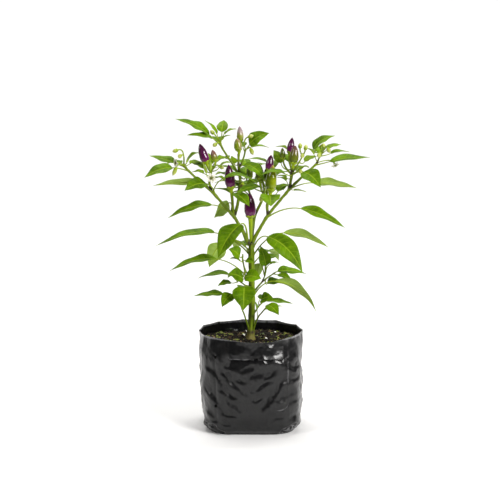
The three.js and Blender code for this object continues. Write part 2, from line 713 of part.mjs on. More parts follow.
function trunkBar(extra = 0) {
  const radiusAt = radiusAlong(TRUNK);
  return bar(trunkCurve, (share) => radiusAt(share) + extra, 10, 10);
}

function crownStalk(extra = 0) {
  const [, base, tip, width] = CROWN_FRUIT;
  const { foot, radius } = CROWN_STALK;
  return fruitStalk(vec(foot), vec(base), vec(tip), width + 2 * extra, radius + extra);
}

const trunk = () => union([trunkBar(), crownStalk()]);

// The place on the trunk's centre line at a height.
function trunkPoint(height) {
  const places = TRUNK.map((row, i) => [row[2], i / (TRUNK.length - 1)]);
  return trunkCurve.getPoint(tableValue(places, height));
}

// A leafy stem: its stems with everything green that grows from them.

function stemBar([points, firstRadius, lastRadius], extra = 0) {
  const thick = firstRadius > 1.3;
  const swelling = (share) => 1 + 0.18 * Math.pow(1 - share, 8);
  const radiusAt = (share) => lerp(firstRadius, lastRadius, share) * swelling(share) + extra;
  return bar(smoothCurve(points), radiusAt, thick ? 6 : 5, Math.round(points.length * (thick ? 1.4 : 1)));
}

const pointOnStem = (stem, place) => smoothCurve(stem[0]).getPoint(place / (stem[0].length - 1));

// What a leafy stem or leaf must keep clear of where it starts, grown by the seat gap.
function seatCutter(neighbours) {
  const solids = [trunkBar(SEAT_GAP), crownStalk(SEAT_GAP)];
  for (const name of neighbours) {
    const plan = LEAFY_STEMS[name];
    solids.push(...plan.stems.map((stem) => stemBar(stem, SEAT_GAP)));
  }
  return union(solids);
}

function leafyStem(plan) {
  const parts = plan.stems.map((stem) => stemBar(stem));
  const start = (stem, place) => pointOnStem(plan.stems[stem], place);
  for (const [stem, place, ...shape] of plan.leaves) {
    parts.push(leaf(start(stem, place), shape));
  }
  for (const [, stem, place, base, tip, width] of plan.fruits) {
    parts.push(fruitStalk(start(stem, place), vec(base), vec(tip), width, 0.15 * width));
  }
  for (const [stem, place, neck, tip] of plan.buds) {
    parts.push(budStalk(start(stem, place), vec(neck), vec(tip)));
  }
  for (const [, stem, place, neck, facing] of plan.flowers) {
    parts.push(flowerStalk(start(stem, place), vec(neck), facing));
  }
  return union(parts).subtract(seatCutter(plan.seats));
}

// Assembly

const plant = new THREE.Group();
const LEAF_ROUGHNESS = 0.45;
const FRUIT_ROUGHNESS = 0.25;

plant.add(meshOf("bag", bag(), COLOURS.film, 0.4));
plant.add(meshOf("soil", soil(), COLOURS.soil, 0.95));
plant.add(meshOf("trunk", trunk(), COLOURS.bark, 0.6));

function addFruit(name, base, tip, width, colour) {
  plant.add(meshOf(name, fruit(vec(base), vec(tip), width), COLOURS[colour], FRUIT_ROUGHNESS));
}

addFruit(...CROWN_FRUIT);
for (const [name, plan] of Object.entries(LEAFY_STEMS)) {
  const colour = name.startsWith("shoot") ? COLOURS.youngLeaf : COLOURS.leaf;
  plant.add(meshOf(name, leafyStem(plan), colour, LEAF_ROUGHNESS));
  for (const [fruitName, , , base, tip, width, fruitColour] of plan.fruits) {
    addFruit(fruitName, base, tip, width, fruitColour);
  }
  for (const [flowerName, , , neck, facing, width] of plan.flowers) {
    plant.add(meshOf(flowerName, flower(vec(neck), facing, width), COLOURS.petal, 0.6));
  }
}
for (const [name, [height, ...shape]] of Object.entries(TRUNK_LEAVES)) {
  const solid = leaf(trunkPoint(height), shape).subtract(seatCutter([]));
  plant.add(meshOf(name, solid, COLOURS.leaf, LEAF_ROUGHNESS));
}

export default plant;
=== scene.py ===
# Looks of a chilli pepper plant in a black film grow bag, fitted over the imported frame.
# Tables are in millimetres in the row frame: the origin is the centre of the bag's flat base, +Z is up,
# +X runs to the viewer's right, and -Y faces the viewer. Each finished piece is scaled to metres.
import math

import bpy
import numpy as np
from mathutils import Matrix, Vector


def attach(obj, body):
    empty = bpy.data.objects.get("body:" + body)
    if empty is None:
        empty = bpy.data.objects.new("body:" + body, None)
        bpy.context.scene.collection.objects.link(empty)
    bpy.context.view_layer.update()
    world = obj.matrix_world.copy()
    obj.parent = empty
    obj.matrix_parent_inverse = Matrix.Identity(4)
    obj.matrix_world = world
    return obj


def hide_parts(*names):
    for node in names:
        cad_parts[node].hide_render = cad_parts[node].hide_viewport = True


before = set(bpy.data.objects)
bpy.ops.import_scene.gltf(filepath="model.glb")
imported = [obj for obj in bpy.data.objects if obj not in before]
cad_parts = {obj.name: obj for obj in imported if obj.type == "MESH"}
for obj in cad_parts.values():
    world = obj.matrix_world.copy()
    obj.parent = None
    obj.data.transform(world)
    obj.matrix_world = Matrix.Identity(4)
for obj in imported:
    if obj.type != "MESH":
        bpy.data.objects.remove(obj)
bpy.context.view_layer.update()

# Driving values

MM = 0.001
SHARP_EDGE_DEG = 55  # faces that meet at a greater angle don't share their shading
KEEL_DEG = 15  # how far each half of a blade folds up from the midrib, on average
BLADE_THICKNESS = 0.45
WIDE_BLADE = 12  # width above which a blade has more points across it
WIDE_BLADE_ROWS = [0, 0.05, 0.14, 0.3, 0.47, 0.64, 0.8, 0.92, 1]  # from the midrib to the edge
NARROW_BLADE_ROWS = [0, 0.09, 0.28, 0.55, 0.8, 1]
VEIN_SPACING = 6.0  # between neighbouring side veins along a large blade
PETIOLE_RADIUS = 0.42  # of a blade of no width, growing with the blade
PEDICEL_RADIUS = 1.2
BUD_WIDTH = 5.8
BUD_STRETCH = 1.12  # of its length between the listed neck and tip
CALYX_TEETH = 6
PETALS = 6
PETAL_THICKNESS = 0.28
ANTHERS = 6
FULL_FLOWER = 14  # width of a flower whose anthers are of full size
LOW_LEAF = 228  # height of the leaf tips above which small leaves are young and pale

FILM = 0.5  # thickness
BAG_HEIGHT = 116
BAG_DEPTH_SHARE = 0.97  # its depth over its width
BAG_COLUMNS = 320
BAG_ROW = 0.9  # height of one row of faces on the bag's outside
# Half the width at rows of heights, as [height, half width]
BAG_HALF_WIDTHS = [[0, 49.5], [2.5, 53.5], [9, 57], [24, 60], [60, 62], [103, 62.8], [116, 63]]
FOOT_SQUARENESS = 4  # power of the outline, which is 2 for an ellipse
MOUTH_SQUARENESS = 2.3
FOOT_LEAN = 2.3  # how far the foot stands towards +X of the mouth
# The flat bag's folds on the front and the back, as (x, how far the film stands out)
UPRIGHT_FOLDS = [(-42.2, -0.6), (43.6, 0.7)]
CUFF = {"x": (-25.5, 43.5), "z": 94.0, "step": 1.7}  # the level fold across the front
INSIDE_HEIGHTS = [4, 12, 24, 50, 65, 80]  # of the rows of points on the inside, below those at the mouth
# Rings of points on the floor, as shares of the way from its middle to the wall, outside and inside
FLOOR_SHARES = [0.04, 0.2, 0.4, 0.6, 0.78, 0.9, 0.97]
INNER_FLOOR_SHARES = [0.97, 0.8, 0.5, 0.2, 0.04]

# Creases of the front of the bag, as [x, height, length, lean in degrees from level, depth]. They are
# turned round for its back and its flanks. The film is sunk above each one and stands out below it.
CREASES = [
    [-24, 82, 22, -18, 0.6], [-28, 71, 26, -54, 0.8], [-19, 59, 29, -40, 0.6], [-26, 49, 26, -28, 0.8],
    [-23, 38, 26, -50, 0.9], [-26, 24, 22, -10, 0.6], [-29, 13, 22, -28, 0.6], [-13, 66, 12, -34, 0.5],
    [-4, 79, 15, 24, 0.5], [7, 72, 15, 28, 0.6], [14, 60, 27, 30, 0.8], [22, 73, 19, 32, 0.7],
    [8, 45, 16, 26, 0.6], [22, 42, 30, 52, 1.0], [18, 90, 12, -50, 0.5], [36, 61, 24, 42, 0.7],
    [-36, 62, 30, -62, 0.5], [-37, 33, 24, -58, 0.5], [33, 21, 26, 28, 0.6], [16, 12, 20, 12, 0.4],
    [-48, 78, 17, -35, 0.4], [-50, 50, 20, -50, 0.7], [-49, 24, 17, -25, 0.6], [51, 80, 17, -16, 0.8],
    [51, 66, 15, 24, 0.7], [50, 39, 17, 30, 0.4], [50, 92, 14, 35, 0.4], [49, 20, 16, 14, 0.7],
    [-45, 104, 16, 62, 0.4], [-12, 106, 20, 24, 0.3], [8, 105, 18, 38, 0.15], [47, 106, 15, 40, 0.1],
    [31, 33, 24, -20, 0.5], [33, 43, 12, 20, 0.45],
]
CREASE_DEPTH = 1.75  # of a crease whose listed depth is 1
CREASE_TURN = 2.1  # about half the width of the slope from its sunk side to its raised side
CREASE_REACH = 8  # how far above and below its line a crease fades away
# Where the film bulges, as [x, height, half width, half height, how far it stands out]
BULGES = [
    [0, 22, 26, 20, 1.2], [-34, 96, 9, 12, 0.8], [53, 70, 5, 6, 1.1], [53, 47, 5, 7, 1.2],
    [-55, 84, 5, 8, 0.9], [-56, 58, 5, 8, 1.0],
]
FOOT_CORNERS = [(-46, -40), (46, -40), (-46, 40), (46, 40)]
TUCK_RADIUS = 16  # of the arc of folded film round each corner of the foot
TUCK_RIDGE = 9  # radius of the ridge inside it
HOLES = [(-41.0, 94.5), (-41.5, 36.0)]  # x and height of the drain holes, on the front and the back
HOLE_RADII = (1.7, 2.9)  # across and upwards
HOLE_Y = 53  # how far the walls are from the middle at the holes
FLOOR_THICKNESS = 1.2  # of the folded film under the soil
FLAP_START = (-31, 54.5, 106.2)  # left end of the flap on the soil
FLAP_LENGTH = 17
SEAM_X = 1.8  # of the faint line down the front
HIGHLIGHT_FOLD_X = 44.5  # of the stretch of the right upright fold that is lightened as a painted highlight
HIGHLIGHT_CORNER = (46, -40)  # the corner of the foot whose crumpled film is lightened as painted highlights
HIGHLIGHT_ARC = {"x": 34.6, "z": 39.5, "radii": (10, 8), "edge": 0.15}  # an arc lightened as a painted highlight on the front, from its middle

# The mouth's edge, as [degrees from +X, height]. It runs nearly straight between these corners.
RIM = [
    [1.6, 117.5], [28.8, 117.5], [59.3, 118.5], [81.1, 118.2], [97.7, 118.8], [111.7, 117.2],
    [128.8, 117.6], [152.6, 117.0], [179.0, 115.8], [222.8, 116.8], [242.4, 115.2], [263.9, 112.8],
    [282.7, 112.2], [293.6, 112.6], [309.3, 115.8], [349.5, 118.0],
]

SOIL_LINE = 103  # height at which the soil meets the bag
SOIL_TOP = 104.3  # mean height of its lumpy surface
SOIL_FOOT = 1.8
PERLITE_SPOTS = [[14, 12, 0], [-20, -30, 0], [31, 40, 0]]  # x and y of the pieces that the photo shows

# The trunk, from its buried end to the first fork, as [x, y, z, radius]
TRUNK = [
    [1, 0, 60, 2.4], [1, 0, 86, 3.8], [0.5, 0, 106, 4.5],
    [2, 0, 149, 3.8], [1.3, 0, 190, 3.3], [1, 0, 223, 3.3],
]
FORK = [0, 0, 224]

# The fruit that stands in the fork, on a stout stalk, as [name, base, tip, width, colour]
CROWN_FRUIT = ["pepper_crown", [0, -1, 254], [-1, -3, 284], 13.8, "purple"]
CROWN_STALK_FOOT = [1, 0, 215]
CROWN_STALK_RADIUS = 2.6

# Buds whose petals have dropped and dried, as (leafy stem, number in its list)
SPENT_BUDS = {("limb_left_inner", 2)}

# Leafy stems: the limbs and spurs above the fork, and the shoots on the trunk
# stems:   [points, first radius, last radius]
# leaves:  [stem, place along it, blade base, blade tip, width, arch, facing]
# fruits:  [name, stem, place, base, tip, width, colour]
# buds:    [stem, place, neck, tip]
# flowers: [name, stem, place, neck, direction it faces, width]
# A place along a stem counts its points, so 2.5 is halfway from the third to the fourth. Facing is
# how many degrees a blade's face is turned to the viewer.

LEAFY_STEMS = {}

LEAFY_STEMS["limb_left"] = {
    "stems": [
        [[[-1, 0, 221], [-5, 0, 228], [-9, -1, 238], [-15, -2, 248], [-20, -3, 256], [-32, -6, 270],
            [-46, -9, 286], [-60, -11, 298], [-75, -13, 313], [-79, -13, 319]], 2.4, 1.2],
    ],
    "leaves": [
        [0, 0.6, [-12, -12, 247], [-38, -36, 210], 31, 4, 10],
        [0, 3.8, [-46, -8, 270], [-98, -16, 255], 20, 4, 20],
        [0, 4.3, [-26, 6, 271], [-44, 16, 252], 23, 2, -125],
        [0, 5.6, [-63, 0, 296], [-117, 6, 292], 18, 1.5, -31],
        [0, 5.7, [-52, -18, 296], [-77, -36, 289], 22, 3, 30],
        [0, 7.8, [-92, -19, 315], [-124, -32, 304], 19, 3, 30],
        [0, 8.3, [-90, -8, 320], [-121, 2, 328], 15, 1, 25],
        [0, 8.8, [-75, -15, 321], [-60, -22, 333], 14, 3, 30],
        [0, 8.5, [-72, -8, 319], [-59, 0, 321], 9, 2, 15],
        [0, 8.2, [-84, 1, 318], [-102, 24, 316], 15, 4, 0],
        [0, 5.9, [-31, -20, 303], [8, -24, 297], 14, 6, 15],
    ],
    "fruits": [["pepper_left_inner", 0, 4.0, [-23, -5, 289], [-26, -6, 318], 12.7, "purple"]],
    "buds": [
        [0, 9.0, [-85, -18, 336], [-91, -19, 334]],
        [0, 8.6, [-87, -20, 316], [-91, -21, 307]],
        [0, 8.9, [-81, -24, 330], [-84, -28, 328]],
    ],
    "flowers": [["flower_left_tip", 0, 8.7, [-87, -22, 321], [-0.8, -0.5, -0.1], 12]],
}

LEAFY_STEMS["spur_left"] = {
    "stems": [[[[-47, -9, 288], [-49, -11, 300], [-47, -12, 308], [-46, -12, 314]], 1.5, 1.0]],
    "leaves": [
        [0, 1.5, [-55, -14, 308], [-70, -10, 309], 10, 2, 15],
        [0, 2.0, [-55, -6, 313], [-72, 2, 319], 12, 3, 20],
        [0, 2.8, [-49, -3, 317], [-50, 8, 331], 13, 2, 0],
        [0, 3.0, [-38, -4, 324], [-24, 6, 322], 12, 3, 15],
        [0, 2.4, [-37, -18, 315], [-22, -25, 321], 11, 3, 15],
        [0, 1.6, [-52, -19, 308], [-56, -27, 322], 4.5, 1, 0],
        [0, 1.9, [-47, -20, 312], [-47, -27, 325], 4, 1, 0],
        [0, 1.3, [-41, -14, 303], [-29, -27, 301], 9, 2, 0],
    ],
    "fruits": [
        ["pepper_left_spur", 0, 2.2, [-52, -12, 320], [-60, -12, 343], 11, "purple"],
        ["pepper_left_small", 0, 2.6, [-42, -13, 323], [-45, -13, 336], 7.6, "ripening"],
    ],
    "buds": [[0, 2.9, [-37, -12, 317], [-32, -13, 314]]],
    "flowers": [["flower_left_front", 0, 1.0, [-46, -22, 303], [0.1, -0.95, 0.15], 13]],
}

LEAFY_STEMS["limb_left_inner"] = {
    "stems": [
        [[[-19, 0, 257], [-15, 2, 271], [-13.5, 4, 286], [-12, 6, 298], [-14, 7, 316], [-14, 8, 330]],
            1.9, 1.4],
        [[[-13, 8, 315], [-10, 9, 320], [-7, 9, 330], [-6, 9, 335]], 1.2, 0.9],
    ],
    "leaves": [
        [0, 2.0, [-19, -10, 284], [-1, -28, 270], 19, 2, 10],
        [0, 1.8, [-24, 2, 284], [-44, 8, 288], 9, 2, 10],
        [0, 2.4, [-28, 8, 293], [-38, -2, 303], 10, 2, 20],
        [0, 3.7, [-8, 1, 317], [16, -10, 300], 17, 5, 28],
        [0, 4.1, [-19, 14, 318], [-23, 22, 327], 9, 1, 0],
        [0, 2.9, [-22, 18, 300], [-44, 40, 302], 20, 5, 0],
        [0, 3.3, [-6, 20, 302], [-4, 42, 312], 17, 4, 0],
        [1, 2.8, [-1, 9, 341], [23, 4, 355], 19, 3, 58],
        [1, 2.9, [1, 13, 338], [23, 20, 337], 11, 2, 10],
        [1, 2.4, [-9, 17, 338], [-15, 36, 342], 13, 3, 0],
    ],
    "fruits": [
        ["pepper_top_front", 0, 5.0, [-14, 4, 334], [-16, 3, 349], 9.6, "ripening"],
        ["pepper_top", 0, 4.9, [-12, 14, 345], [-13, 14, 363], 8.2, "ripening"],
    ],
    "buds": [
        [1, 3.0, [-3, 6, 350], [3, 4, 352]],
        [1, 3.0, [0, 6, 337], [3, 4, 330]],
        [0, 2.6, [-9, -2, 296], [-11, -6, 289]],
    ],
}

LEAFY_STEMS["limb_left_top"] = {
    "stems": [[[[-14, 7, 304], [-20, 8, 316], [-27, 7, 326], [-34, 5, 338], [-36, 4, 343]], 1.5, 1.0]],
    "leaves": [
        [0, 3.2, [-49, 2, 353], [-89, -6, 372], 20, 3, 30],
        [0, 2.9, [-45, -4, 349], [-75, -14, 353], 15, 2, 22],
        [0, 3.9, [-40, 6, 354], [-55, 10, 370], 9, 2, 10],
        [0, 4.0, [-34, 9, 356], [-32, 27, 370], 14, 2, 0],
        [0, 3.8, [-31, 1, 354], [-16, -6, 360], 11, 2, 15],
        [0, 3.6, [-34, -3, 349], [-23, -11, 353], 8, 1, 10],
        [0, 3.3, [-38, 18, 344], [-42, 44, 346], 15, 4, 0],
        [0, 2.0, [-28, 18, 324], [-44, 44, 316], 16, 4, 0],
    ],
    "buds": [
        [0, 3.9, [-43, 0, 354], [-47, -2, 358]],
        [0, 3.7, [-40, -3, 343], [-44, -6, 340]],
    ],
}

LEAFY_STEMS["limb_centre"] = {
    "stems": [
        [[[1, 3, 222], [3, 8, 241], [6, 12, 256], [14, 15, 273], [17, 17, 286], [14, 18, 300]], 2.1, 1.3],
        [[[6, 12, 257], [3, 30, 270], [-3, 46, 287], [-5, 56, 302]], 1.6, 1.0],
    ],
    "leaves": [
        [0, 5.0, [20, 20, 320], [-3, 25, 323], 10, 2, 10],
        [0, 4.2, [12, 1, 291], [-18, -19, 283], 15, 3, 20],
        [0, 4.5, [9, 12, 297], [-5, 4, 289], 13, 3, 20],
        [0, 3.2, [24, 32, 284], [42, 62, 282], 20, 6, 0],
        [0, 3.8, [0, 32, 290], [-22, 62, 284], 20, 6, 0],
        [0, 4.8, [26, 30, 310], [32, 52, 320], 15, 4, 0],
        [0, 4.4, [28, 22, 300], [50, 36, 306], 14, 4, 0],
        [1, 1.4, [-14, 48, 288], [-45, 64, 291], 19, 5, 0],
        [1, 1.8, [9, 54, 293], [30, 80, 295], 18, 5, 0],
        [1, 2.2, [-6, 64, 290], [-10, 99, 279], 22, 6, 0],
        [1, 2.8, [-18, 64, 306], [-45, 76, 309], 16, 4, 0],
        [1, 2.9, [6, 66, 308], [24, 88, 312], 15, 4, 0],
        [1, 3.0, [-6, 66, 311], [-8, 90, 319], 14, 4, 0],
    ],
    "fruits": [
        ["pepper_centre_right", 0, 4.2, [19, 12, 297], [19, 11, 313], 6.5, "green"],
        ["pepper_centre_left", 0, 4.9, [0, 14, 301], [-2, 13, 316], 7.2, "green"],
        ["pepper_back", 0, 3.6, [12, 34, 296], [10, 40, 318], 10.5, "purple"],
    ],
    "buds": [[0, 5.0, [6, 22, 313], [2, 20, 309]]],
}

LEAFY_STEMS["limb_right"] = {
    "stems": [
        [[[1, 0, 220], [6, 0, 231], [11, -1, 240], [21, -3, 257], [33, -5, 272], [47, -8, 289],
            [63, -10, 305], [76, -12, 317], [80, -12, 322]], 2.3, 1.2],
        [[[79, -12, 320], [82, -10, 327], [86, -8, 333]], 1.0, 0.8],
    ],
    "leaves": [
        [0, 2.8, [60, -12, 266], [112, -22, 244], 21, 3, 24],
        [0, 5.0, [73, -1, 296], [128, 8, 289], 19, 2, -32],
        [0, 5.4, [52, 2, 287], [68, 8, 284], 9, 1, 5],
        [0, 4.7, [43, 5, 298], [32, 13, 301], 9, 2, 0],
        [0, 7.1, [94, -14, 322], [141, -18, 327], 16, 2, 27],
        [0, 7.8, [75, -16, 331], [66, -24, 338], 9, 2, 0],
        [1, 1.6, [92, 0, 336], [109, 7, 341], 12, 2, 15],
        [1, 1.9, [75, -5, 336], [101, -4, 352], 17, 4, 28],
        [1, 1.2, [96, -1, 331], [120, 10, 332], 12, 2, 10],
        [1, 1.0, [83, 5, 331], [90, 27, 337], 15, 4, 0],
    ],
    "buds": [
        [1, 2.0, [84, -12, 341], [88, -14, 341]],
        [1, 2.0, [91, -12, 338], [94, -14, 333]],
        [1, 1.5, [82, -17, 332], [80, -21, 328]],
    ],
    "flowers": [["flower_right_tip", 0, 7.6, [101, -4, 318], [0.3, -0.5, -0.8], 11]],
}

LEAFY_STEMS["limb_right_upper"] = {
    "stems": [
        [[[47, -8, 290], [48, -9, 299], [49, -10, 307], [50, -10, 314]], 1.8, 1.3],
        [[[49, -10, 307], [56, -9, 318], [62, -8, 328]], 1.1, 0.8],
    ],
    "leaves": [
        [0, 1.9, [63, -20, 310], [82, -38, 293], 22, 3, 30],
        [0, 1.8, [41, -21, 308], [13, -28, 307], 13, 4, 15],
        [0, 2.3, [55, -17, 311], [66, -22, 318], 9, 1, 10],
        [0, 1.4, [43, -1, 302], [31, 6, 303], 9, 2, 0],
        [0, 2.8, [37, 9, 319], [28, 19, 334], 16, 2, 20],
        [0, 2.9, [44, 8, 336], [30, 11, 338], 9, 2, 10],
        [0, 2.2, [56, 7, 309], [72, 28, 312], 15, 4, 0],
        [0, 2.6, [47, 11, 320], [44, 34, 328], 16, 4, 0],
        [1, 1.3, [65, 1, 321], [80, 9, 327], 11, 2, 20],
    ],
    "fruits": [
        ["pepper_right_front", 0, 3.0, [51, -15, 319], [53, -15, 341], 10.7, "ripening"],
        ["pepper_right_top", 0, 2.8, [47, -1, 331], [50, 0, 350], 8.8, "purple"],
        ["pepper_right_small", 0, 2.0, [39, -4, 325], [38, -4, 338], 6.4, "green"],
    ],
    "buds": [
        [1, 2.0, [59, -8, 337], [59, -9, 343]],
        [1, 2.0, [65, -8, 335], [66, -9, 341]],
        [1, 2.0, [62, -12, 331], [61, -16, 327]],
        [0, 2.9, [58, -19, 313], [60, -22, 309]],
    ],
}

LEAFY_STEMS["limb_right_inner"] = {
    "stems": [[[[21, -3, 258], [20, -5, 267], [22, -7, 277]], 1.8, 1.5]],
    "leaves": [
        [0, 1.9, [23, -14, 282], [24, -40, 271], 24, 2, 0],
        [0, 1.5, [33, 4, 285], [49, 21, 292], 14, 3, 10],
    ],
    "fruits": [
        ["pepper_right_inner", 0, 2.0, [24, -8, 286], [27, -9, 318], 13.5, "green"],
        ["pepper_right_inner_back", 0, 1.2, [22, 6, 310], [25, 6, 329], 9.8, "purple"],
    ],
    "buds": [[0, 1.7, [14, -12, 281], [12, -15, 275]]],
}

LEAFY_STEMS["shoot_left_mid"] = {
    "stems": [[[[0, -1, 182], [-6, -6, 191], [-9, -8, 202], [-9, -9, 211]], 1.1, 0.8]],
    "leaves": [
        [0, 2.6, [-13, -10, 208], [-26, -17, 218], 17, 2, 62],
        [0, 2.0, [-12, -12, 203], [-25, -16, 206], 9, 2, 10],
        [0, 2.2, [-5, -12, 204], [4, -18, 202], 10, 1, 40],
        [0, 1.2, [-9, -14, 182], [-27, -25, 189], 20, 2, 50],
        [0, 1.0, [-6, -15, 184], [13, -22, 183], 20, 2, 45],
    ],
}

LEAFY_STEMS["shoot_left_low"] = {
    "stems": [[[[0, 0, 167], [-10, -3, 175], [-17, -4, 181]], 1.0, 0.8]],
    "leaves": [
        [0, 2.0, [-26, 0, 185], [-64, 7, 179], 14, 3, 15],
        [0, 1.5, [-23, -9, 176], [-39, -15, 173], 12, 2, 20],
        [0, 1.7, [-16, -14, 179], [-20, -22, 186], 8, 1, 0],
        [0, 1.2, [-14, 9, 180], [-28, 30, 176], 14, 4, 0],
    ],
}

LEAFY_STEMS["shoot_base_left"] = {
    "stems": [[[[0, -1, 112], [-5, -6, 130], [-11, -9, 147], [-15, -10, 156]], 1.1, 0.8]],
    "leaves": [
        [0, 3.0, [-22, -13, 163], [-34, -24, 149], 16, 2, 30],
        [0, 2.8, [-33, -3, 161], [-69, 3, 158], 14, 1.5, 22],
    ],
}

LEAFY_STEMS["shoot_base_right"] = {
    "stems": [[[[2, -1, 112], [8, -7, 131], [14, -9, 140], [19, -10, 146]], 1.0, 0.8]],
    "leaves": [
        [0, 3.0, [21, -13, 150], [34, -28, 140], 15, 2, 25],
        [0, 2.7, [27, -5, 145], [40, -1, 146], 7, 1, 0],
        [0, 1.2, [8, -13, 144], [5, -19, 155], 9, 1, 70],
    ],
}

LEAFY_STEMS["shoot_right_low"] = {
    "stems": [[[[2, 0, 132], [9, 1, 144], [15, 1, 151]], 1.0, 0.8]],
    "leaves": [
        [0, 2.0, [20, 1, 152], [52, 6, 148], 13, 1.5, 18],
        [0, 1.8, [13, -5, 154], [27, -13, 159], 15, 2, 50],
        [0, 1.3, [12, 14, 152], [26, 38, 148], 14, 4, 0],
    ],
}

LEAFY_STEMS["shoot_right_mid"] = {
    "stems": [
        [[[2, 0, 161], [12, 2, 173], [20, 3, 180], [29, 3, 186]], 1.2, 0.8],
        [[[14, 3, 175], [18, 1, 185], [19, -1, 193]], 0.9, 0.7],
    ],
    "leaves": [
        [0, 3.0, [33, 4, 188], [68, 12, 184], 17, 2, 24],
        [0, 2.9, [33, -2, 185], [51, -10, 177], 12, 2, 20],
        [0, 1.8, [21, 10, 172], [42, 18, 171], 15, 3, 25],
        [1, 2.0, [19, -4, 196], [12, -8, 221], 15, 1, 115],
        [1, 1.6, [24, 5, 197], [35, 12, 198], 8, 1, 10],
        [1, 1.2, [22, 14, 202], [36, 28, 204], 13, 2, 10],
        [1, 0.8, [11, 9, 197], [8, 19, 175], 14, 2, 0],
    ],
}

for plan in LEAFY_STEMS.values():
    for kind in ("fruits", "buds", "flowers"):
        plan.setdefault(kind, [])

# Single leaves that grow from the trunk, as [height there, blade base, blade tip, width, arch, facing]
TRUNK_LEAVES = {
    "leaf_left_long": [212, [-43, 6, 235], [-115, 10, 218], 20, 6, 18],
    "leaf_left_low": [174, [-41, -9, 205], [-97, -17, 191], 19, 5, 18],
    "leaf_left_back": [206, [-34, 7, 222], [-50, 5, 193], 24, 3, -120],
    "leaf_right_front": [209, [21, -9, 232], [62, -28, 191], 26, 7, 45],
    "leaf_right_upper": [203, [40, 5, 235], [95, 13, 216], 19, 5, -36],
    "leaf_right_droop": [155, [30, -8, 178], [79, -14, 142], 22, 9, -40],
    "leaf_front_low": [166, [-7, -15, 172], [-8, -34, 147], 28, 3, 0],
    "leaf_back_upper": [198, [-6, 30, 216], [-20, 78, 204], 24, 8, 0],
    "leaf_back_right": [194, [14, 28, 206], [36, 70, 192], 22, 8, 0],
    "leaf_back_low": [150, [-4, 24, 162], [-10, 60, 150], 20, 7, 0],
}

# Small helpers


def unit(v):
    v = np.asarray(v, float)
    return v / np.linalg.norm(v, axis=-1, keepdims=True)


def smoothstep(low, high, x):
    t = np.clip((np.asarray(x, float) - low) / (high - low), 0, 1)
    return t * t * (3 - 2 * t)


def hump(x, width):
    """1 where x is 0, and falling off smoothly on both sides, to a third at the width."""
    return np.exp(-((x / width) ** 2))


def circle(count):
    """Angles spaced evenly round a circle."""
    return np.linspace(0, 2 * math.pi, count, endpoint=False)


def turned(v, axis, degrees):
    """The vector v turned about an axis of length one."""
    angle = math.radians(degrees)
    along = axis * np.dot(axis, v)
    return along + (v - along) * math.cos(angle) + np.cross(axis, v) * math.sin(angle)


def smooth_points(points, shares):
    """Points of a smooth curve through the points given, at shares of its run from 0 to 1."""
    p = np.array(points, float)
    p = np.vstack([2 * p[0] - p[1], p, 2 * p[-1] - p[-2]])
    place = np.clip(shares, 0, 1) * (len(p) - 3)
    k = np.minimum(place.astype(int), len(p) - 4)
    t = (place - k)[:, None]
    a, b, c, d = p[k], p[k + 1], p[k + 2], p[k + 3]
    return b + 0.5 * t * (c - a + t * (2 * a - 5 * b + 4 * c - d + t * (3 * b - a - 3 * c + d)))


def bezier(a, b, c, shares):
    s = np.asarray(shares, float)[..., None]
    return (1 - s) ** 2 * a + 2 * s * (1 - s) * b + s**2 * c


def bezier_direction(a, b, c, shares):
    s = np.asarray(shares, float)[..., None]
    return unit((1 - s) * (b - a) + s * (c - b))


def waves(points, size, seed, count=7):
    """Smooth seeded noise from about -1 to 1, with bumps a size apart: a number, or one for each axis."""
    chance = np.random.default_rng(seed)
    scaled = np.asarray(points, float) / size
    total = 0
    for _ in range(count):
        direction = unit(chance.normal(size=scaled.shape[-1])) * chance.uniform(0.75, 1.35)
        total = total + np.sin(2 * math.pi * (scaled @ direction) + chance.uniform(0, 2 * math.pi))
    return total / math.sqrt(count)


# Surfaces


class Piece:
    """Surfaces in millimetres that become one mesh object. Its points carry values for their materials."""

    VALUES = ("tone", "along", "mark", "across", "phase")

    def __init__(self):
        self.points = []
        self.faces = []
        self.slots = []
        self.grain = []
        self.values = {name: [] for name in self.VALUES}
        self.count = 0

    def add(self, points, faces, slots=0, grain=None, **values):
        """Adds a surface. Slots and values are one number for all its faces or points, or one for each."""
        points = np.asarray(points, float).reshape(-1, 3)
        faces = faces.tolist() if isinstance(faces, np.ndarray) else faces
        self.points.append(points)
        self.faces += [[i + self.count for i in face] for face in faces]
        self.slots += np.broadcast_to(slots, len(faces)).tolist()
        self.grain.append(points if grain is None else np.asarray(grain, float).reshape(-1, 3))
        for name, rows in self.values.items():
            rows.append(np.broadcast_to(np.ravel(values.get(name, 0.0)), len(points)).astype(float))
        self.count += len(points)

    def make(self, name, nodes, slot, materials):
        used = np.unique(np.concatenate(self.faces))
        place = np.zeros(self.count, int)
        place[used] = np.arange(len(used))
        points = np.vstack(self.points)[used] * MM
        faces = [place[face].tolist() for face in self.faces]
        mesh = bpy.data.meshes.new(name)
        mesh.from_pydata(points.tolist(), [], faces, shade_flat=False)
        mesh.polygons.foreach_set("material_index", self.slots)
        for value in self.VALUES:
            row = np.concatenate(self.values[value])[used]
            mesh.attributes.new(value, "FLOAT", "POINT").data.foreach_set("value", row)
        grain = mesh.attributes.new("grain", "FLOAT_VECTOR", "POINT")
        grain.data.foreach_set("vector", np.vstack(self.grain)[used].ravel())
        mesh.set_sharp_from_angle(angle=math.radians(SHARP_EDGE_DEG))
        for material in materials:
            mesh.materials.append(material)
        piece = bpy.data.objects.new(name, mesh)
        bpy.context.collection.objects.link(piece)
        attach(piece, "root")
        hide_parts(*nodes)
        return piece


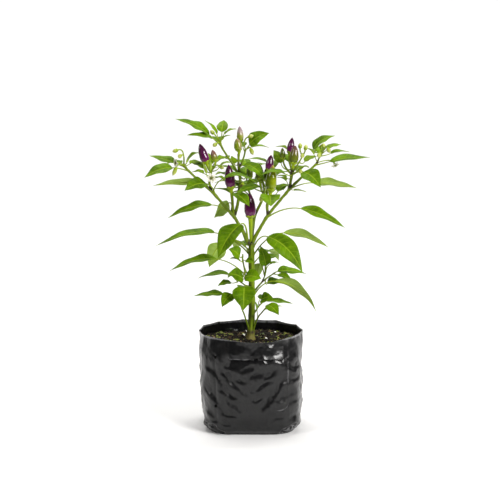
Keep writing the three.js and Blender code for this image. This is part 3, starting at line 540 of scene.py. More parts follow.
def grid_faces(rows, columns, closed=False):
    """Faces of a grid of points, which face along the cross product of its row and column directions."""
    i, j = np.meshgrid(np.arange(rows - 1), np.arange(columns if closed else columns - 1), indexing="ij")
    k = (j + 1) % columns
    corners = [i * columns + j, (i + 1) * columns + j, (i + 1) * columns + k, i * columns + k]
    return np.stack(corners, axis=-1).reshape(-1, 4)


def capped_faces(rows, columns):
    """Faces of closed rings, with a fan at each end to one of the two points that follow the rings."""
    faces = grid_faces(rows, columns, closed=True)[:, ::-1].tolist()
    centre = rows * columns
    last_row = centre - columns
    for j in range(columns):
        k = (j + 1) % columns
        faces += [[centre, k, j], [centre + 1, last_row + j, last_row + k]]
    return faces


def add_sheet(piece, top, normals, thickness, slots, grain=None, **values):
    """A thin closed sheet under a grid of points, with one material on top and another underneath."""
    rows, columns, _ = top.shape
    count = rows * columns
    bottom = top - normals * np.broadcast_to(thickness, top.shape[:2])[..., None]
    upper = grid_faces(rows, columns)
    index = np.arange(count).reshape(rows, columns)
    edge = np.concatenate([index[:-1, 0], index[-1, :-1], index[:0:-1, -1], index[0, :0:-1]])
    following = np.roll(edge, -1)
    rim = np.stack([edge, edge + count, following + count, following], axis=-1)
    faces = np.vstack([upper, rim, upper[:, ::-1] + count])
    face_slots = np.repeat(slots, [len(upper) + len(rim), len(upper)])
    grain = top if grain is None else grain
    both = {}
    for name, value in values.items():
        both[name] = np.tile(np.broadcast_to(value, top.shape[:2]).ravel(), 2)
    piece.add(np.stack([top, bottom]), faces, face_slots, np.stack([grain, grain]), **both)


def rings_round(path, radii, sides, first_normal=None):
    """Round sections carried along a path without twisting: their points and outward directions."""
    path = np.asarray(path, float)
    along = unit(np.gradient(path, axis=0))
    normal = np.array([1.0, 0.0, 0.0]) if first_normal is None else np.asarray(first_normal, float)
    if abs(np.dot(normal, along[0])) > 0.95:
        normal = np.array([0.0, 1.0, 0.0])
    angles = circle(sides)
    outward = []
    for direction in along:
        normal = unit(normal - direction * np.dot(normal, direction))
        binormal = np.cross(direction, normal)
        outward.append(np.outer(np.cos(angles), normal) + np.outer(np.sin(angles), binormal))
    outward = np.array(outward)
    radii = np.broadcast_to(np.asarray(radii, float).reshape(len(path), -1), (len(path), sides))
    return path[:, None] + outward * radii[..., None], outward


def add_rings(piece, path, rings, slot=0, seed=0, **values):
    """Skins rings along a path and closes both ends with a blunt tip."""
    rows, sides, _ = rings.shape
    path = np.asarray(path, float)
    radius = np.linalg.norm(rings - path[:, None], axis=-1)
    ends = []
    for row, inner in ((0, 1), (-1, -2)):
        ends.append(path[row] + unit(path[row] - path[inner]) * radius[row].mean() * 0.4)
    distance = np.concatenate([[0], np.cumsum(np.linalg.norm(np.diff(path, axis=0), axis=-1))])
    angle = circle(sides)
    shift = 37.0 * (seed % 17)  # so that each stem shows another stretch of the same noise
    round_stem = radius * np.cos(angle) + shift, radius * np.sin(angle)
    grain = np.stack([*round_stem, distance[:, None] + 0 * radius], axis=-1)
    grain = np.vstack([grain.reshape(-1, 3), [shift, 0, 0], [shift, 0, distance[-1]]])
    spread = {}
    for name, value in values.items():
        value = np.asarray(value, float)
        value = np.broadcast_to(value[:, None] if value.ndim == 1 else value, (rows, sides))
        spread[name] = np.concatenate([value.ravel(), [value[0].mean(), value[-1].mean()]])
    piece.add(np.vstack([rings.reshape(-1, 3), ends]), capped_faces(rows, sides), slot, grain, **spread)


def turned_path(base, axis, rows):
    """Centres and radii of a body turned about an axis, from rows of [distance along it, radius]."""
    rows = np.asarray(rows, float)
    return base + rows[:, :1] * axis, rows[:, 1]


# Leaves: a petiole that runs on as the midrib of an arched, keeled blade with side veins


def blade_outline(share):
    """Half width along the blade: broadest at a third of its length, with a drawn-out tip."""
    peak = 0.343**0.6 * 0.657**1.15
    return share**0.6 * (1 - share) ** 1.15 / peak


def midrib_of(base, tip, arch):
    """Start, bend and end of the curve of a midrib that stands arch above its chord."""
    chord = tip - base
    up = unit(np.array([0, 0, 1.0]) - chord * chord[2] / chord.dot(chord))
    return base, base + 0.45 * chord + 2 * arch * up, tip


def blade_side(base, tip, facing):
    """The direction across a blade, whose face is turned to the viewer by some degrees."""
    chord = unit(tip - base)
    level = unit(np.cross([0, 0, 1.0], chord))
    return turned(level, chord, facing * np.sign(chord[0]))


def stalk_points(start, end, arriving, count):
    """A stalk that leaves its stem at start and arrives at end along the direction given."""
    reach = np.linalg.norm(end - start)
    return bezier(start, end - 0.45 * reach * arriving, end, np.linspace(0, 1, count))


def add_blade(piece, midrib, side, width, chance, young):
    """A blade whose points follow its side veins: u runs along the midrib, and v from edge to edge."""
    base, bend, tip = midrib
    length = np.linalg.norm(tip - base)
    veins = int(np.clip(round(length / VEIN_SPACING), 3, 9))
    halves = WIDE_BLADE_ROWS if width > WIDE_BLADE else NARROW_BLADE_ROWS
    v = np.array([-x for x in halves[:0:-1]] + halves)[None, :]
    u = np.linspace(0.004, 0.996, veins * 5 + 1)[:, None]
    s = u + 0.55 * np.abs(v) * u * (1 - u)

    along = bezier_direction(base, bend, tip, s)
    normal = unit(np.cross(along, side))
    twist = np.radians(chance.uniform(-9, 9)) * (s - 0.3)
    across = side * np.cos(twist)[..., None] + normal * np.sin(twist)[..., None]
    normal = unit(np.cross(along, across))

    taper = blade_outline(s)
    half = width / 2 * taper
    keel = np.tan(np.radians(KEEL_DEG * (1.4 - 0.8 * s)))
    bulge = 0.03 * width * taper * np.sin(math.pi * u * veins) ** 2 * np.sqrt(np.abs(v)) * (1 - v**4)
    beat = chance.uniform(1.3, 2.4)
    left, right = (np.sin(2 * math.pi * (beat * s + chance.uniform())) for _ in range(2))
    ripple = 0.045 * width * taper * v**2 * np.where(v < 0, left, right)
    curl = -0.06 * width * taper * np.abs(v) ** 3
    rise = np.abs(v) * half * keel + bulge + ripple + curl + BLADE_THICKNESS / 2
    top = bezier(base, bend, tip, s) + across * (v * half)[..., None] + normal * rise[..., None]
    thickness = BLADE_THICKNESS * (1 - 0.55 * np.abs(v)) * np.clip(width / 14, 0.6, 1)
    shift = chance.uniform(0, 400)
    grain = np.stack([s * length + shift, v * half, 0 * s], axis=-1)
    add_sheet(piece, top, normal, thickness, (0, 1), grain, tone=young, along=s, across=v, phase=u * veins)


def add_leaf(blades, stems, start, shape, seed):
    """A leaf from a start on its stem. Its shape is [blade base, blade tip, width, arch, facing]."""
    base, tip = np.array(shape[0], float), np.array(shape[1], float)
    width, arch, facing = shape[2:]
    chance = np.random.default_rng(seed)
    length = np.linalg.norm(tip - base)
    young = float(np.clip((30 - length) / 26, 0, 1) + chance.uniform(-0.12, 0.12))
    if tip[2] < LOW_LEAF:
        young = 0.3 * young - 0.1
    midrib = midrib_of(base, tip, arch)
    side = blade_side(base, tip, facing)
    add_blade(blades, midrib, side, width, chance, young)

    radius = PETIOLE_RADIUS + 0.018 * width
    stalk = stalk_points(start, base, bezier_direction(*midrib, 0.0), 9)
    along = np.linspace(0, 1, len(stalk))
    stalk_radii = radius * (1.15 - 0.4 * along) * (1 + 0.5 * np.exp(-along * 9))
    shares = np.linspace(0.05, 0.93, 12)
    rib_radii = radius * 0.75 * (1 - shares) ** 0.8 + 0.1
    up = unit(np.cross(bezier_direction(*midrib, shares), side))
    rib = bezier(*midrib, shares) - up * (0.75 * rib_radii)[:, None]
    path = np.vstack([stalk, rib])
    rings, _ = rings_round(path, np.concatenate([stalk_radii, rib_radii]), 8, side)
    tone = np.concatenate([0.35 + 0.4 * along, np.full(len(shares), 0.85)])
    mark = np.concatenate([np.exp(-along * 14) * 0.5, np.zeros(len(shares))])
    add_rings(stems, path, rings, seed=seed, tone=tone + 0.3 * young, mark=mark)


# Stems


def stem_point(stem, place):
    """The point at a place along a stem, counted in the points that it is listed by."""
    points = stem[0]
    return smooth_points(points, np.array([place / (len(points) - 1)]))[0]


FORKS = [np.array(FORK, float)] + [
    np.array(stem[0][0], float) + [0, -1, 2.5] for plan in LEAFY_STEMS.values() for stem in plan["stems"]
]


def fork_marks(points):
    """How near each point is to a fork, where the plant is nearly black."""
    nearest = np.min([np.linalg.norm(points - fork, axis=-1) for fork in FORKS], axis=0)
    return hump(nearest, 3.4)


def add_stem(piece, stem, joints, seed):
    points, first, last = stem
    run = np.linalg.norm(np.diff(np.array(points, float), axis=0), axis=-1).sum()
    count = max(int(run / 1.4), 8)
    shares = np.linspace(0, 1, count)
    path = smooth_points(points, shares)
    path += waves(path, 9, seed)[:, None] * np.array([0.16, 0.16, 0]) * np.sin(math.pi * shares)[:, None]
    radii = (first + (last - first) * shares) * (1 + 0.18 * (1 - shares) ** 8)
    for place in joints:
        near = (shares - place / (len(points) - 1)) * run
        radii = radii * (1 + 0.17 * hump(near, 1.7))
    ridges = 1 + 0.045 * np.cos(5 * circle(15)[None, :] + 0.05 * run * shares[:, None])
    rings, outward = rings_round(path, radii[:, None] * ridges, 15)
    facing_up = np.clip(outward[..., 2], 0, 1)
    mark = fork_marks(rings) * (0.75 + 0.25 * facing_up)
    add_rings(piece, path, rings, seed=seed, tone=0.1 + 0.2 * shares, mark=mark)


# The trunk: green bark, darker olive brown up its left side, away from the key light: partly a streak in
# the bark and partly painted shade


def trunk_point(height):
    heights = [row[2] for row in TRUNK]
    share = np.interp(height, heights, np.linspace(0, 1, len(TRUNK)))
    return smooth_points([row[:3] for row in TRUNK], np.array([share]))[0]


def add_trunk(piece):
    shares = np.linspace(0, 1, 130)
    path = smooth_points([row[:3] for row in TRUNK], shares)
    radii = np.interp(shares, np.linspace(0, 1, len(TRUNK)), [row[3] for row in TRUNK])
    height = path[:, 2]
    radii = radii * (1 + 0.28 * hump(height - SOIL_TOP, 4.5))
    for plan in TRUNK_LEAVES.values():
        radii = radii * (1 + 0.1 * hump(height - plan[0], 2.5))
    angles = circle(24)[None, :]
    level = height[:, None]
    lobes = 1 + 0.05 * np.cos(5 * angles + level / 30) + 0.03 * np.cos(3 * angles - level / 17)
    flare = 1 + 0.16 * np.cos(4 * angles + 1) * hump(level - SOIL_TOP + 1, 4)
    rings, outward = rings_round(path, radii[:, None] * lobes * flare, 24)
    rings = rings + outward * (0.1 * waves(rings, (3, 3, 9), 5))[..., None]
    # Painted shade: the side facing -X, away from the key light, is marked darker, on top of the bark's
    # own olive brown streak.
    to_left = -outward[..., 0] - 0.25 * outward[..., 1]
    streak_and_shade = smoothstep(-0.1, 0.75, to_left + 0.16 * waves(rings, (9, 9, 40), 6))
    add_rings(piece, path, rings, tone=streak_and_shade, mark=fork_marks(rings), along=(height - SOIL_TOP) / 118)


# Fruits, and the calyx cups that hold them


def fruit_outline(share):
    shoulder = 0.3
    rounded = np.sqrt(np.clip(1 - (1 - share / shoulder) ** 2, 0, 1))
    tapered = np.clip(1 - (np.clip(share - shoulder, 0, 1) / (1 - shoulder)) ** 2.1, 0, 1) ** 0.75
    return np.where(share < shoulder, rounded, tapered)


def make_fruit(name, base, tip, width, colour, slot):
    base, tip = np.array(base, float), np.array(tip, float)
    length = np.linalg.norm(tip - base)
    seed = sum(map(ord, name))
    chance = np.random.default_rng(seed)
    shares = np.concatenate([np.linspace(0.004, 0.3, 14), np.linspace(0.325, 0.965, 27), [0.985, 0.996]])
    radii = width / 2 * fruit_outline(shares)
    path, radii = turned_path(base, unit(tip - base), np.stack([shares * length, radii], axis=-1))
    lean = unit(np.array([chance.normal(), chance.normal(), 0.0]))
    path = path + lean * (0.012 * length * np.sin(math.pi * shares) ** 2)[:, None]
    angles = circle(36)[None, :]
    lobes = 1 + 0.018 * np.cos(3 * angles + chance.uniform(0, 6))
    lobes = lobes + 0.012 * np.cos(2 * angles + chance.uniform(0, 6))
    rings, outward = rings_round(path, radii[:, None] * lobes, 36)
    dimples = 0.09 * waves(rings, (7, 7, 5), seed) + 0.04 * waves(rings, 2.6, seed + 1)
    rings = rings + outward * (dimples * np.minimum(radii[:, None] / 2, 1))[..., None]
    piece = Piece()
    across = outward @ np.array([1.0, 0, 0])
    add_rings(piece, path, rings, seed=seed, along=shares, across=across, tone=chance.uniform())
    return piece.make(name + "_fruit", [name], slot, [MATERIALS["fruit_" + colour]])


def add_calyx(piece, start, base, tip, width, stalk_radius, seed):
    """A stalk and the toothed cup at its end, which holds the fruit with the base, tip and width given."""
    base, tip = np.array(base, float), np.array(tip, float)
    axis = unit(tip - base)
    length = np.linalg.norm(tip - base)
    floor, lip = 0.02 * length, 0.1 * length
    floor_radius, lip_radius = width / 2 * fruit_outline(np.array([0.02, 0.1]))
    neck = base - 0.3 * width * axis
    stalk = stalk_points(start, neck, axis, 12)
    along = np.linspace(0, 1, 12)
    stalk_radii = PEDICEL_RADIUS * 1.1 * (1 - along) + stalk_radius * along
    cup = [
        [-1.5, max(stalk_radius * 1.12, 0.45 * floor_radius)],
        [-1.1, floor_radius * 0.8 + 0.5],
        [-0.6, floor_radius + 0.7],
        [0.35 * lip, 0.4 * floor_radius + 0.6 * lip_radius + 0.85],
        [0.8 * lip, lip_radius + 0.75],
        [lip, lip_radius + 0.7],
        [lip, lip_radius + 0.1],
        [floor, floor_radius - 0.4],
    ]
    centres, cup_radii = turned_path(base, axis, cup)
    path = np.vstack([stalk, centres])
    angles = circle(30)
    rib_heights = np.concatenate([0.05 * along, np.linspace(0.05, 0.03, len(cup))])
    ribs = 1 + np.outer(rib_heights, np.cos(5 * angles))
    rings, _ = rings_round(stalk, stalk_radii, 30)
    outward = (rings[-1] - stalk[-1]) / stalk_radii[-1]
    outward = unit(outward - (outward @ axis)[:, None] * axis)
    cup_rings = centres[:, None] + outward * (cup_radii[:, None] * ribs[12:])[..., None]
    teeth = 0.45 * np.cos(CALYX_TEETH * angles) + 0.15 * np.cos(2 * angles + seed)
    rise = np.array([0, 0, 0.1, 0.3, 0.8, 1, 1, 0])[:, None] * teeth
    cup_rings = cup_rings + axis * rise[..., None]
    rings = stalk[:, None] + (rings - stalk[:, None]) * ribs[:12, :, None]
    tone = np.concatenate([0.35 + 0.4 * along, np.full(len(cup), 0.9)])
    start_mark = np.concatenate([np.exp(-along * 10) * 0.6, np.zeros(len(cup))])
    add_rings(piece, path, np.vstack([rings, cup_rings]), seed=seed, tone=tone, mark=start_mark)


# Buds and flowers


def add_bud(stems, buds, start, neck, tip, seed, spent=False):
    """A stalk, a small cup, and a bud folded along its length, which is slimmer where it is spent."""
    neck, tip = np.array(neck, float), np.array(tip, float)
    axis = unit(tip - neck)
    length = np.linalg.norm(tip - neck) * BUD_STRETCH
    stalk = stalk_points(start, neck, axis, 9)
    along = np.linspace(0, 1, 9)
    cup = [[0.06, 0.22], [0.14, 0.34], [0.3, 0.4], [0.36, 0.4], [0.36, 0.3]]
    cup = [[share * length, radius * BUD_WIDTH] for share, radius in cup]
    centres, cup_radii = turned_path(neck, axis, cup)
    path = np.vstack([stalk, centres])
    radii = np.concatenate([0.7 + 0.2 * along, cup_radii])
    rings, _ = rings_round(path, radii, 10)
    tone = np.concatenate([0.5 + 0.3 * along, np.full(len(cup), 0.95)])
    add_rings(stems, path, rings, seed=seed, tone=tone)
    shares = np.linspace(0, 1, 12)
    body = 0.42 * BUD_WIDTH * np.sin(math.pi * np.clip(shares, 0.03, 0.975) ** 0.9) ** 0.7
    if spent:
        body = body * (1 - 0.45 * shares)
    path = neck + axis * (0.12 + 0.88 * shares)[:, None] * length
    angles = circle(20)[None, :]
    folds = 1 + 0.055 * np.cos(5 * angles + 1.2 * shares[:, None]) * np.sin(math.pi * shares)[:, None]
    rings, _ = rings_round(path, body[:, None] * folds, 20)
    add_rings(buds, path, rings, seed=seed, along=shares, tone=float(spent), across=np.cos(5 * angles))


def make_flower(name, neck, facing, width, slot):
    """The open flower: pointed petals round a short tube, and a ring of dark anthers round the style."""
    neck = np.array(neck, float)
    axis = unit(facing)
    seed = sum(map(ord, name))
    chance = np.random.default_rng(seed)
    first = unit(np.cross(axis, [0.3, 0.2, 1.0]))
    second = np.cross(axis, first)
    centre = neck + axis * 0.6
    size = (width / FULL_FLOWER) ** 3
    piece = Piece()
    for i in range(PETALS):
        angle = 2 * math.pi * (i + chance.uniform(-0.06, 0.06)) / PETALS
        out = first * math.cos(angle) + second * math.sin(angle)
        across = np.cross(axis, out)
        u = np.linspace(0.02, 0.99, 11)[:, None]
        v = np.linspace(-1, 1, 7)[None, :]
        reach = width / 2 * (0.14 + 0.86 * u)
        half = width * 0.16 * np.sin(math.pi * np.clip(u, 0, 1) ** 0.75) ** 0.75 * (1 - 0.25 * u)
        back = chance.uniform(0.2, 0.9)
        height = 0.7 * np.sin(math.pi * u * 0.6) - back * u**2 * 1.3 + 0.35 * np.abs(v) * half
        height = height + 0.15 * np.sin(5 * u + 3 * v + i)
        points = centre + out * (reach + 0 * v)[..., None] + across * (half * v)[..., None]
        points = points + axis * height[..., None]
        add_sheet(piece, points, axis, PETAL_THICKNESS, (0, 0), along=u, across=v)
    for i in range(ANTHERS):
        angle = 2 * math.pi * (i + 0.3) / ANTHERS
        out = first * math.cos(angle) + second * math.sin(angle)
        foot = centre + out * 0.5
        rise = size * np.array([[0, 0], [0.7, 0.6], [1.3, 1.1], [2.3, 1.35], [2.7, 1.3]])
        path = np.array([foot + axis * up + out * away for up, away in rise])
        rings, _ = rings_round(path, size * np.array([0.25, 0.3, 0.62, 0.6, 0.25]), 8)
        add_rings(piece, path, rings, slot=1)
    path = np.array([centre - axis * 0.9, centre, centre + axis * 1.6, centre + axis * 3.0])
    rings, _ = rings_round(path, [1.25, 1.0, 0.28, 0.34], 10)
    add_rings(piece, path, rings, slot=2, tone=0.9)
    materials = [MATERIALS["petal"], MATERIALS["anther"], MATERIALS["stem"]]
    return piece.make(name + "_bloom", [name], slot, materials)


# The bag: a lofted film shell, with the folds of the flat bag it was


def bag_half(z):
    """Half the width of the bag at a height, with the corners between the listed heights rounded off."""
    heights, halves = zip(*BAG_HALF_WIDTHS)
    z = np.asarray(z, float)
    return np.mean([np.interp(z + step, heights, halves) for step in (-3, -1.5, 0, 1.5, 3)], axis=0)


def bag_reach(angle, z, inset=0.0):
    """Distance from the middle to the bag's outline, which is squarer at the foot than at the mouth."""
    share = np.clip(np.asarray(z) / BAG_HEIGHT, 0, 1)
    power = FOOT_SQUARENESS + (MOUTH_SQUARENESS - FOOT_SQUARENESS) * share
    sides = np.abs(np.cos(angle)) ** power + np.abs(np.sin(angle) / BAG_DEPTH_SHARE) ** power
    return (bag_half(z) - inset) / sides ** (1 / power)


def bag_point(angle, z, inset=0.0):
    reach = bag_reach(angle, z, inset)
    return reach * np.cos(angle), reach * np.sin(angle)


def bag_outward(angle, z):
    """The level direction square to the outline."""
    x0, y0 = bag_point(angle - 0.01, z)
    x1, y1 = bag_point(angle + 0.01, z)
    return unit(np.stack([y1 - y0, x0 - x1, 0 * x0], axis=-1))


def rim_height(angle):
    """Height of the mouth's edge, straight between its corners."""
    corners = np.array(RIM)
    degrees = np.concatenate([corners[:, 0] - 360, corners[:, 0], corners[:, 0] + 360])
    return np.interp(np.degrees(angle) % 360, degrees, np.tile(corners[:, 1], 3))


def rim_pull(angle):
    """How far the mouth is pulled in: 0 at a corner, and 1 midway between corners 30 degrees apart."""
    corners = np.array([row[0] for row in RIM])
    corners = np.concatenate([corners - 360, corners, corners + 360])
    degrees = np.degrees(angle) % 360
    before = corners[np.searchsorted(corners, degrees, side="right") - 1]
    after = corners[np.searchsorted(corners, degrees, side="right")]
    share = (degrees - before) / (after - before)
    return 4 * share * (1 - share) * ((after - before) / 30) ** 2


def upright_folds(x, y, z):
    """The folds of the flat bag on the front and the back, and a hollow up the middle of each flank."""
    out = 0
    for fold, depth in UPRIGHT_FOLDS:
        off = x - fold - 0.5 * np.sin(z / 17)
        out = out + depth * hump(off, 0.8) - 0.4 * hump(off, 3.4)
    side = hump(y, 7) * smoothstep(40, 58, np.abs(x))
    fade = smoothstep(5, 18, z) * (1 - 0.65 * smoothstep(96, 114, z))
    return (out * smoothstep(25, 40, np.abs(y)) - 1.1 * side) * fade


def creases(across, z, bend):
    """Slanting creases and bulges of one side of the bag, by the distance across it and the height."""
    out = 0
    for place, height, length, lean, depth in CREASES:
        lean = math.radians(lean)
        along = (across - place) * math.cos(lean) + (z - height) * math.sin(lean)
        above = (z - height) * math.cos(lean) - (across - place) * math.sin(lean) + bend
        taper = np.clip(1 - (1.45 * along / length) ** 2, 0, 1) ** 1.5
        slope = np.tanh(above / CREASE_TURN) * hump(above, CREASE_REACH)
        out = out - CREASE_DEPTH * depth * taper * slope
    for place, height, wide, tall, depth in BULGES:
        out = out + depth * hump(across - place, wide) * hump(z - height, tall)
    return out


def all_creases(x, y, z):
    """The creases of the front, turned round for the back and the two flanks."""
    bend = 1.1 * waves(np.stack([x, y, z], axis=-1), 17, 31)
    broad = creases(np.where(y < 0, x, -x), z, bend) * smoothstep(12, 32, np.abs(y))
    flank = creases(np.where(x < 0, 1.15 * y + 6, -1.15 * y), z, bend) * smoothstep(34, 54, np.abs(x))
    return broad + 0.8 * flank * (1 - smoothstep(24, 42, np.abs(y)))


def foot_tucks(x, y, z):
    """The tucked corners of the foot: arcs of folded film round each corner."""
    out = 0
    points = np.stack([x, y, z], axis=-1)
    bend = 1.2 * waves(points, 14, 41)
    rough = 0.5 * waves(points, (9, 9, 5), 42)
    for corner_x, corner_y in FOOT_CORNERS:
        away = np.sqrt((x - corner_x) ** 2 + (y - corner_y) ** 2 + (1.15 * z) ** 2) + bend
        arc = away - TUCK_RADIUS
        out = out + 0.8 * hump(away, 15) + 2.2 * np.tanh(arc / 1.2) * hump(arc, 6)
        out = out + (0.7 * hump(away - TUCK_RIDGE, 1.8) + rough) * smoothstep(18, 13, away)
    return out * (1 - smoothstep(14, 22, z))


def cuff_mask(x, y):
    """1 where the level fold runs across the front, and 0 elsewhere."""
    first, last = CUFF["x"]
    return smoothstep(first - 0.8, first + 1.0, x) * (1 - smoothstep(last - 7, last + 2, x)) * (y < 0)


def cuff_line(x):
    """Height of the level fold's edge."""
    return CUFF["z"] + 0.5 * np.sin(x / 8) + 0.3 * np.sin(x / 3.1)


def cuff_fold(x, y, z):
    """The edge that stands out above the level fold, and the hollow below it, deepest at the left."""
    above = z - cuff_line(x)
    hollow = 6 + 7 * smoothstep(2, -16, x)
    pinched = 1.5 * hump(x - 18, 4) + 1.5 * hump(x - 37, 5)
    below = -(0.8 + 2.2 * smoothstep(16, -10, x) + pinched) * np.clip(1 + above / hollow, 0, 1) ** 1.2
    roll = smoothstep(10, 16, x) * (1.5 + 0.006 * (x - 27) ** 2) * np.exp(-above / 2.6)
    fold = np.where(above > 0, CUFF["step"] * np.exp(-np.abs(above) / 22) + roll, below)
    return cuff_mask(x, y) * fold


def bag_folds(angle, z):
    """How far the film stands out from the plain outline at an angle and height."""
    x, y = bag_point(angle, z)
    points = np.stack([x, y, z], axis=-1)
    out = 0.5 * waves(points, (34, 34, 42), 21) + 0.2 * waves(points, (13, 13, 15), 22)
    ridge = 1 - np.minimum(np.abs(waves(points, (17, 17, 24), 23)) * 1.5, 1)
    out = out + 0.45 * ridge**2 * smoothstep(-0.4, 0.9, waves(points, 25, 25))
    out = out + 0.07 * waves(points, (4.5, 4.5, 6), 24)
    out = out + upright_folds(x, y, z) + all_creases(x, y, z) + foot_tucks(x, y, z) + cuff_fold(x, y, z)
    seam = hump(x - SEAM_X, 0.6) * (y < 0) * smoothstep(22, 34, z) * (1 - smoothstep(74, 86, z))
    lip = 0.55 + 0.5 * np.sin(2 * angle + 1.9) + 0.3 * np.sin(7 * angle)
    lip = lip * np.exp(-(BAG_HEIGHT - z) / 1.5)
    pull = -1.9 * np.minimum(rim_pull(angle), 1) * smoothstep(92, BAG_HEIGHT, z)
    return (out + 0.35 * seam) * smoothstep(0, 3.5, z) + pull + 0.9 * lip


def bag_wall(heights, inset):
    """Rings of points on the film at rows of heights, inset from the outside."""
    angle = circle(BAG_COLUMNS)[None, :]
    z = np.asarray(heights, float)[:, None]
    angle, z = np.broadcast_arrays(angle, z)
    x, y = bag_point(angle, z)
    outward = bag_outward(angle, z)
    front = hump(np.degrees(angle) % 360 - 272, 34)
    slack = 1.1 * np.minimum(rim_pull(angle), 1) * (np.sin(angle) > 0)
    rise = (rim_height(angle) + 1.3 * front - slack - BAG_HEIGHT) * smoothstep(94, BAG_HEIGHT, z)
    above = z - cuff_line(x)
    overhang = -0.8 * cuff_mask(x, y) * np.exp(-np.maximum(above, 0) / 2) * (above > 0)
    rings = np.stack([x + FOOT_LEAN * (1 - z / BAG_HEIGHT), y, z + rise + overhang], axis=-1)
    return rings + outward * (bag_folds(angle, z) - inset)[..., None]


def bag_floor(ring, shares, height, seed):
    """Rings of points across the floor of the bag, from the ring at the foot of its wall."""
    rings = ring[None] * np.array(shares)[:, None, None]
    rings[..., 2] = height
    wrinkle = np.maximum(waves(rings, 16, seed), 0)
    rings[..., 2] += 0.5 * wrinkle * smoothstep(0, 0.15, 1 - np.array(shares))[:, None]
    return rings


def punch_hole(rings, faces, outer_row, inner_row, column):
    """Draws points together round a hole in both skins, and gives the faces with the hole's wall."""
    loop = [(-1, -1), (-1, 0), (-1, 1), (0, 1), (1, 1), (1, 0), (1, -1), (0, -1)]
    columns = rings.shape[1]
    edges = []
    gone = set()
    for row, upward in ((outer_row, 1), (inner_row, -1)):
        centre = rings[row, column].copy()
        sideways = unit(rings[row, (column + 1) % columns] - rings[row, column - 1])
        edge = []
        for rise, step in loop:
            here = (row + rise * upward, (column + step) % columns)
            angle = math.atan2(rise, step)
            upward_part = np.array([0, 0, HOLE_RADII[1] * math.sin(angle)])
            rings[here] = centre + HOLE_RADII[0] * math.cos(angle) * sideways + upward_part
            edge.append(here[0] * columns + here[1])
        edges.append(edge)
        block = {(row + r) * columns + (column + c) % columns for r in (-1, 0, 1) for c in (-1, 0, 1)}
        gone |= {i for i, face in enumerate(faces) if block.issuperset(face)}
    kept = [face for i, face in enumerate(faces) if i not in gone]
    outer, inner = edges
    for k in range(8):
        after = (k + 1) % 8
        kept.append([outer[after], inner[after], inner[k], outer[k]])
    return kept


def painted_highlights_and_wear(x, y, z):
    """Where the film is lightened as painted highlights: the mouth, partly real stress whitening too, the
    level fold, an upright fold, a crumpled foot corner and an arc.
    """
    mouth = smoothstep(BAG_HEIGHT - 3, BAG_HEIGHT, z)
    level = hump(z - cuff_line(x) + 0.1, 0.9) * cuff_mask(x, y) * smoothstep(4, -4, x)
    upright = hump(x - HIGHLIGHT_FOLD_X, 0.9) * (y < 0) * smoothstep(56, 66, z) * smoothstep(96, 86, z)
    crumple = np.abs(waves(np.stack([x, y, z], axis=-1), (5, 5, 4), 43))
    from_corner = np.sqrt((x - HIGHLIGHT_CORNER[0]) ** 2 + (y - HIGHLIGHT_CORNER[1]) ** 2 + z**2)
    corner = (x > 30) * smoothstep(16, 11, from_corner) * smoothstep(0.45, 0.1, crumple)
    across = (x - HIGHLIGHT_ARC["x"]) / HIGHLIGHT_ARC["radii"][0]
    down = (HIGHLIGHT_ARC["z"] - z) / HIGHLIGHT_ARC["radii"][1]
    ring = hump(np.hypot(across, down) - 1, HIGHLIGHT_ARC["edge"])
    arc_highlight = (y < 0) * ring * smoothstep(0.1, 1.0, 0.8 * down + 0.5 * across)
    return np.maximum.reduce([mouth, level, 0.75 * upright, 1.2 * corner, 0.75 * arc_highlight])


def make_bag():
    outside = np.arange(0, BAG_HEIGHT + BAG_ROW / 2, BAG_ROW)
    outside[-1] = BAG_HEIGHT
    near_mouth = np.arange(99, BAG_HEIGHT + 0.1, 1.0)
    near_holes = [z + step for _, z in HOLES for step in (-3, 0, 3)]
    inside = sorted([*INSIDE_HEIGHTS, *near_mouth, *near_holes], reverse=True)
    outer = bag_wall(outside, 0)
    inner = bag_wall(inside, FILM)
    floor = bag_floor(outer[0], FLOOR_SHARES, 0.0, 51)
    inner_floor = bag_floor(inner[-1], INNER_FLOOR_SHARES, FLOOR_THICKNESS, 52)
    rings = np.concatenate([floor, outer, inner, inner_floor])
    faces = capped_faces(*rings.shape[:2])
    for x, z in HOLES:
        for side_y in (-HOLE_Y, HOLE_Y):
            turn = math.atan2(side_y, x) / (2 * math.pi) % 1
            column = round(turn * BAG_COLUMNS) % BAG_COLUMNS
            outer_row = len(floor) + round(z / BAG_ROW)
            inner_row = len(floor) + len(outer) + int(np.argmin(np.abs(np.array(inside) - z)))
            faces = punch_hole(rings, faces, outer_row, inner_row, column)
    points = np.vstack([rings.reshape(-1, 3), [0, 0, 0.2], [0, 0, FLOOR_THICKNESS + 0.2]])
    piece = Piece()
    # The along value carries the painted highlights, partly real whitening at the mouth; mark carries dust
    # at the foot.
    piece.add(points, faces, mark=smoothstep(9, 0, points[:, 2]), along=painted_highlights_and_wear(*points.T))
    return piece.make("bag_film", ["bag"], "film", [MATERIALS["film"]])


def grid_normals(grid):
    return unit(np.cross(np.gradient(grid, axis=0), np.gradient(grid, axis=1)))


def make_flap():
    """A fold of film that lies on the soil along the back wall, at the left."""
    u = np.linspace(0, 1, 22)[:, None]
    v = np.linspace(-1, 1, 9)[None, :]
    half = 2.3 * np.sin(math.pi * np.clip(u, 0.03, 0.97)) ** 0.7
    x = FLAP_START[0] + FLAP_LENGTH * u + 0 * v
    y = FLAP_START[1] + 2.2 * u + half * v * 0.5 + 0.3 * np.sin(9 * u)
    z = FLAP_START[2] + half * v * 0.55 + 0.9 * (1 - v**2) + 0.25 * np.sin(14 * u + 2 * v)
    top = np.stack([x, y, z], axis=-1)
    piece = Piece()
    add_sheet(piece, top, grid_normals(top), 0.35, (0, 0))
    return piece.make("bag_flap", [], "film", [MATERIALS["film"]])


# The soil: a lumpy filling, with crumbs, chips of bark, perlite and moss on its surface


